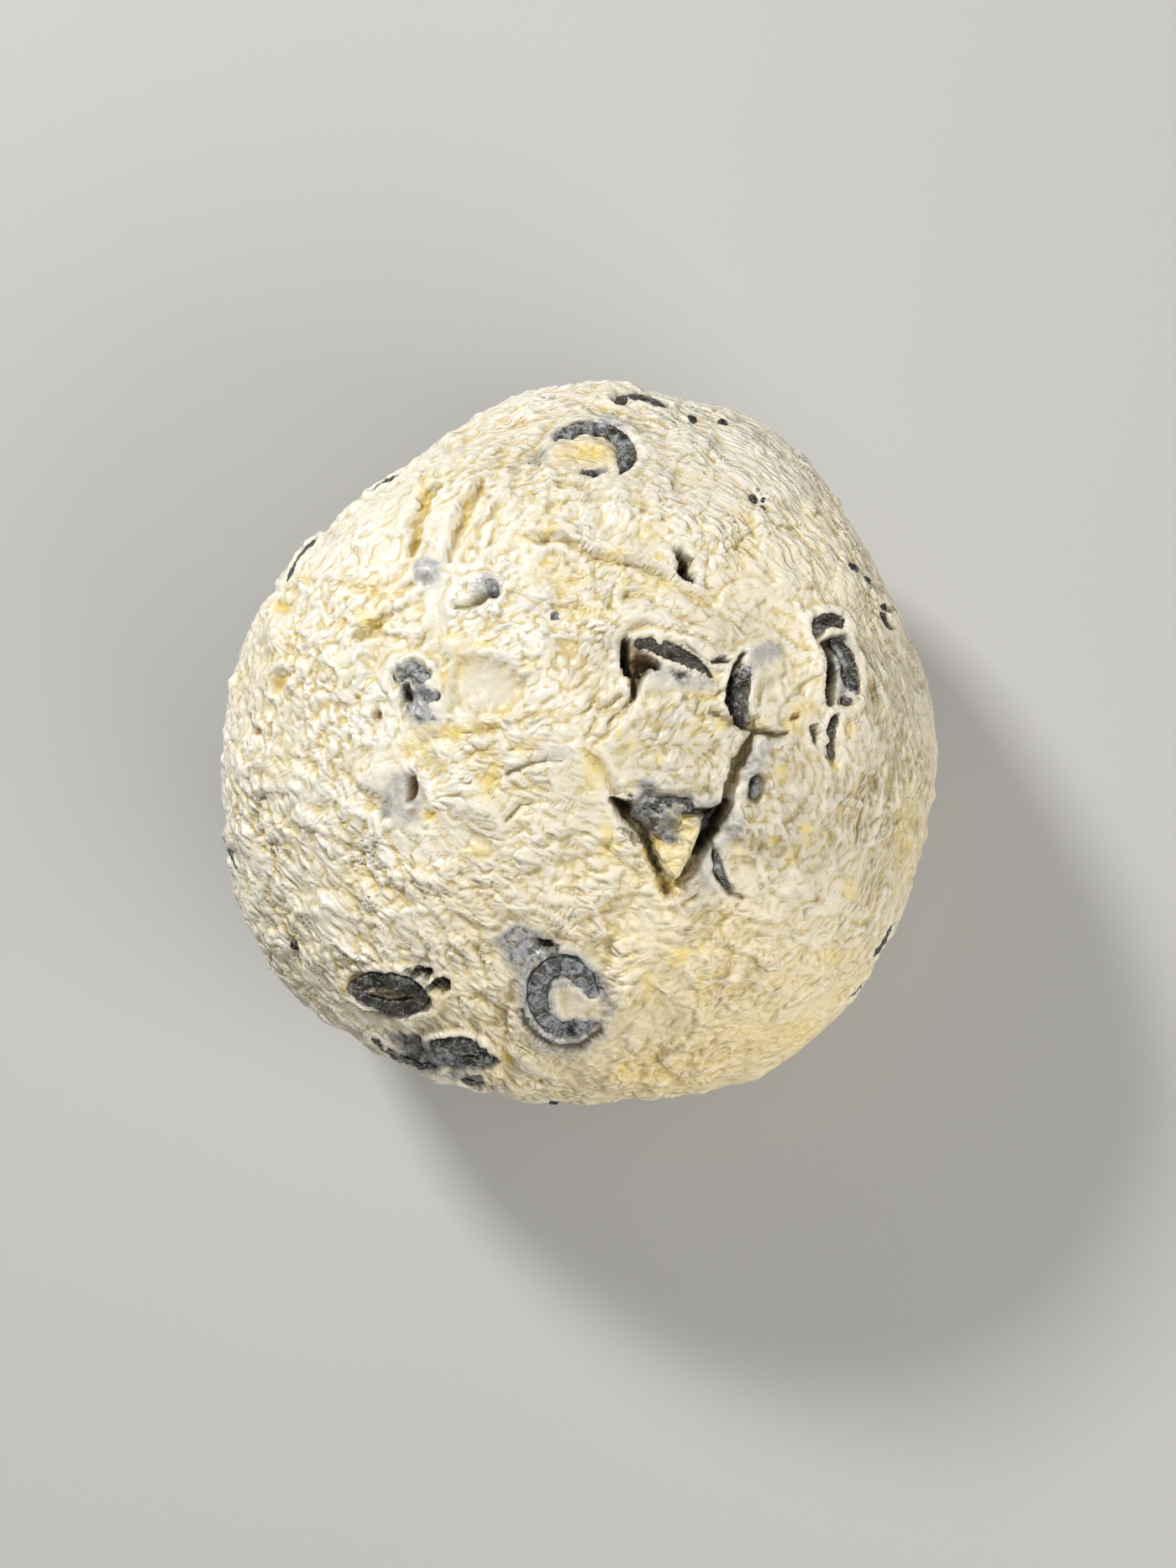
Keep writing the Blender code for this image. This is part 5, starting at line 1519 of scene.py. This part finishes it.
def stains_and_painted_shade(nodes, place, colour, pores):
    """Return a colour under oily spots, the film of the slices and brown marks, with painted shade in the
    pores, the pits and the bottoms of cracks.
    """
    oil = nodes.times(nodes.attribute("oil"), nodes.remap(nodes.noise(place, *OIL_NOISE), *OIL_RANGE))
    streaks = nodes.remap(nodes.noise(place, *STREAKS), *STREAK_RANGE)
    heavy = nodes.remap(nodes.attribute("film"), *HEAVY_RANGE)
    heavy = nodes.times(heavy, nodes.remap(nodes.noise(place, *HEAVY_SPOTS), *HEAVY_SPOT_RANGE))
    for share, over in [
        (oil, OIL),
        (nodes.times(nodes.attribute("film"), streaks), nodes.mix(heavy, FILM, FILM_DARK)),
        # painted shade inside the pores
        (nodes.times(pores, PORE_SHARE), PAINTED_PORE_SHADE),
        # painted shade at the bottoms of cracks
        (nodes.remap(nodes.attribute("deep"), *DEEP_RANGE), PAINTED_CRACK_SHADE),
        (nodes.attribute("brown"), BROWN),
        # painted shade in the pits, and near black at crack bottoms, in pits and gaps, with dark film spots
        (nodes.attribute("pit"), PAINTED_PIT_SHADE),
        (nodes.attribute("dark"), DARK),
    ]:
        colour = nodes.mix(share, colour, over)
    return colour


def cheese_material():
    """Cream with paler and yellower patches, painted shade in the creases, oily spots and grey film by the
    slices.
    """
    material, sockets, nodes, place = new_material("cream_cheese", CHEESE_ROUGHNESS, CHEESE_SPECULAR)
    folds = fold_bump(nodes, place)
    pores = pore_spots(nodes, place)
    nodes.put(sockets["Base Color"], stains_and_painted_shade(nodes, place, cream_colour_with_painted_light(nodes, place, folds), pores))
    height = nodes.times(folds, nodes.remap(nodes.attribute("rough"), *FOLD_HEIGHTS))
    bump = nodes.bump(nodes.math("SUBTRACT", height, pores), *FOLD_BUMP)
    bump = nodes.bump(nodes.noise(place, *GRAIN), *GRAIN_BUMP, Normal=bump)
    nodes.put(sockets["Normal"], bump)
    nodes.put(sockets["Roughness"], nodes.remap(nodes.noise(place, *GLOSS_NOISE), *GLOSS_RANGE))
    sockets["Subsurface Weight"].default_value = SOFT_WEIGHT
    sockets["Subsurface Radius"].default_value = SOFT_COLOUR
    sockets["Subsurface Scale"].default_value = SOFT_DEPTH
    return material


def olive_material():
    """Dark skin, brown-grey flesh, and a pale blue-grey film of cheese in streaks."""
    material, sockets, nodes, place = new_material("black_olive", OLIVE_ROUGHNESS, OLIVE_SPECULAR)
    blotch = nodes.remap(nodes.noise(place, *BLOTCHES), *BLOTCH_RANGE)
    flesh, skin = nodes.mix(blotch, *FLESH_COLOURS), nodes.mix(blotch, *SKIN_COLOURS)
    colour = nodes.mix(nodes.attribute("skin"), flesh, skin)
    around = {0: nodes.attribute("around_x"), 1: nodes.attribute("around_y")}
    radial = nodes.noise(nodes.add("ShaderNodeCombineXYZ", around).outputs[0], *RADIAL_NOISE)
    along = nodes.times(nodes.noise(place, *OLIVE_STREAKS), STREAK_SHARE)
    streak = nodes.math("ADD", along, nodes.times(radial, RADIAL_SHARE))
    broad = nodes.times(nodes.noise(place, *OLIVE_PATCHES), OLIVE_PATCH_SHARE)
    cover = nodes.math("ADD", nodes.times(streak, OLIVE_STREAK_SHARE), broad)
    edge = nodes.math("SUBTRACT", FILM_EDGE, nodes.times(nodes.attribute("film"), FILM_GAIN))
    film = nodes.remap(nodes.math("SUBTRACT", cover, edge), *FILM_RANGE)
    pale = nodes.mix(nodes.remap(streak, *PALE_RANGE), *PALE_COLOURS)
    colour = nodes.mix(nodes.times(film, OLIVE_FILM_SHARE), colour, pale)
    line = nodes.math("ABSOLUTE", nodes.math("SUBTRACT", nodes.noise(place, *VEIN_NOISE), 0.5))
    veins = nodes.times(nodes.remap(line, *VEIN_RANGE), nodes.remap(nodes.attribute("film"), *VEIN_FILM))
    colour = nodes.mix(nodes.times(veins, VEIN_SHARE), colour, VEIN_COLOUR)
    nodes.put(sockets["Base Color"], colour)
    nodes.put(sockets["Normal"], nodes.bump(nodes.noise(place, *OLIVE_GRAIN), *OLIVE_BUMP))
    nodes.put(sockets["Roughness"], nodes.remap(film, *OLIVE_GLOSS))
    return material


def floor_material():
    """Pale matt floor, with a faint mottle."""
    material, sockets, nodes, place = new_material("pale_floor", FLOOR_ROUGHNESS, FLOOR_SPECULAR)
    nodes.put(sockets["Base Color"], nodes.mix(nodes.noise(place, *FLOOR_NOISE), *FLOOR_COLOURS))
    return material


def make_floor():
    """Make the floor: a wide sheet just under z = 0 that rises far away as the square of the distance."""
    steps = np.linspace(-1, 1, FLOOR_STEPS)
    u, v = (item.ravel() for item in np.meshgrid(steps, steps, indexing="ij"))
    far = np.maximum(np.hypot(u, v) - FLOOR_FLAT, 0)
    points = stacked(u * FLOOR_HALF, v * FLOOR_HALF, FLOOR_RISE * far ** 2 - FLOOR_DROP)
    index = np.arange(FLOOR_STEPS ** 2).reshape(FLOOR_STEPS, FLOOR_STEPS)
    return make_mesh("floor", points, grid_faces(index), floor_material())


def add_light(name, place, size, power, colour):
    """Add a square lamp that points at the cheese."""
    data = bpy.data.lights.new(name, "AREA")
    data.energy = power
    data.size = size
    data.color = colour
    lamp = bpy.data.objects.new(name, data)
    lamp.location = place
    lamp.rotation_euler = (Vector(LAMP_TARGET) - Vector(place)).to_track_quat("-Z", "Y").to_euler()
    bpy.context.scene.collection.objects.link(lamp)


def set_scene():
    """Set the camera, the lights and the pale surroundings."""
    scene = bpy.context.scene
    scene.view_settings.view_transform = "Standard"
    camera_data = bpy.data.cameras.new("camera")
    camera_data.sensor_fit = "VERTICAL"
    camera_data.sensor_height = SENSOR
    camera_data.lens = SENSOR * FOCAL_PX / VIEW_HEIGHT
    camera_data.clip_start = NEAREST_SEEN
    camera = bpy.data.objects.new("camera", camera_data)
    camera.location = [value * MM for value in CAMERA_PLACE]
    scene.collection.objects.link(camera)
    scene.camera = camera
    for lamp in LAMPS:
        add_light(*lamp)
    world = bpy.data.worlds.new("studio")
    world.use_nodes = True
    background = world.node_tree.nodes["Background"].inputs
    background["Color"].default_value = WORLD_COLOUR
    background["Strength"].default_value = WORLD_STRENGTH
    scene.world = world


def main():
    """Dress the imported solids."""
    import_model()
    cream = cheese_material()
    black = olive_material()
    cheese = make_cheese(cream)
    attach(cheese, "root")
    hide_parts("cheese")
    for number, entry in enumerate(olive_slices()):
        piece = make_slice(entry, number, black)
        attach(piece, "root")
        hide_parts(entry["name"])
    specks = make_specks(black)
    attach(specks, "root")
    make_floor()
    set_scene()
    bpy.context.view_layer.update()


main()
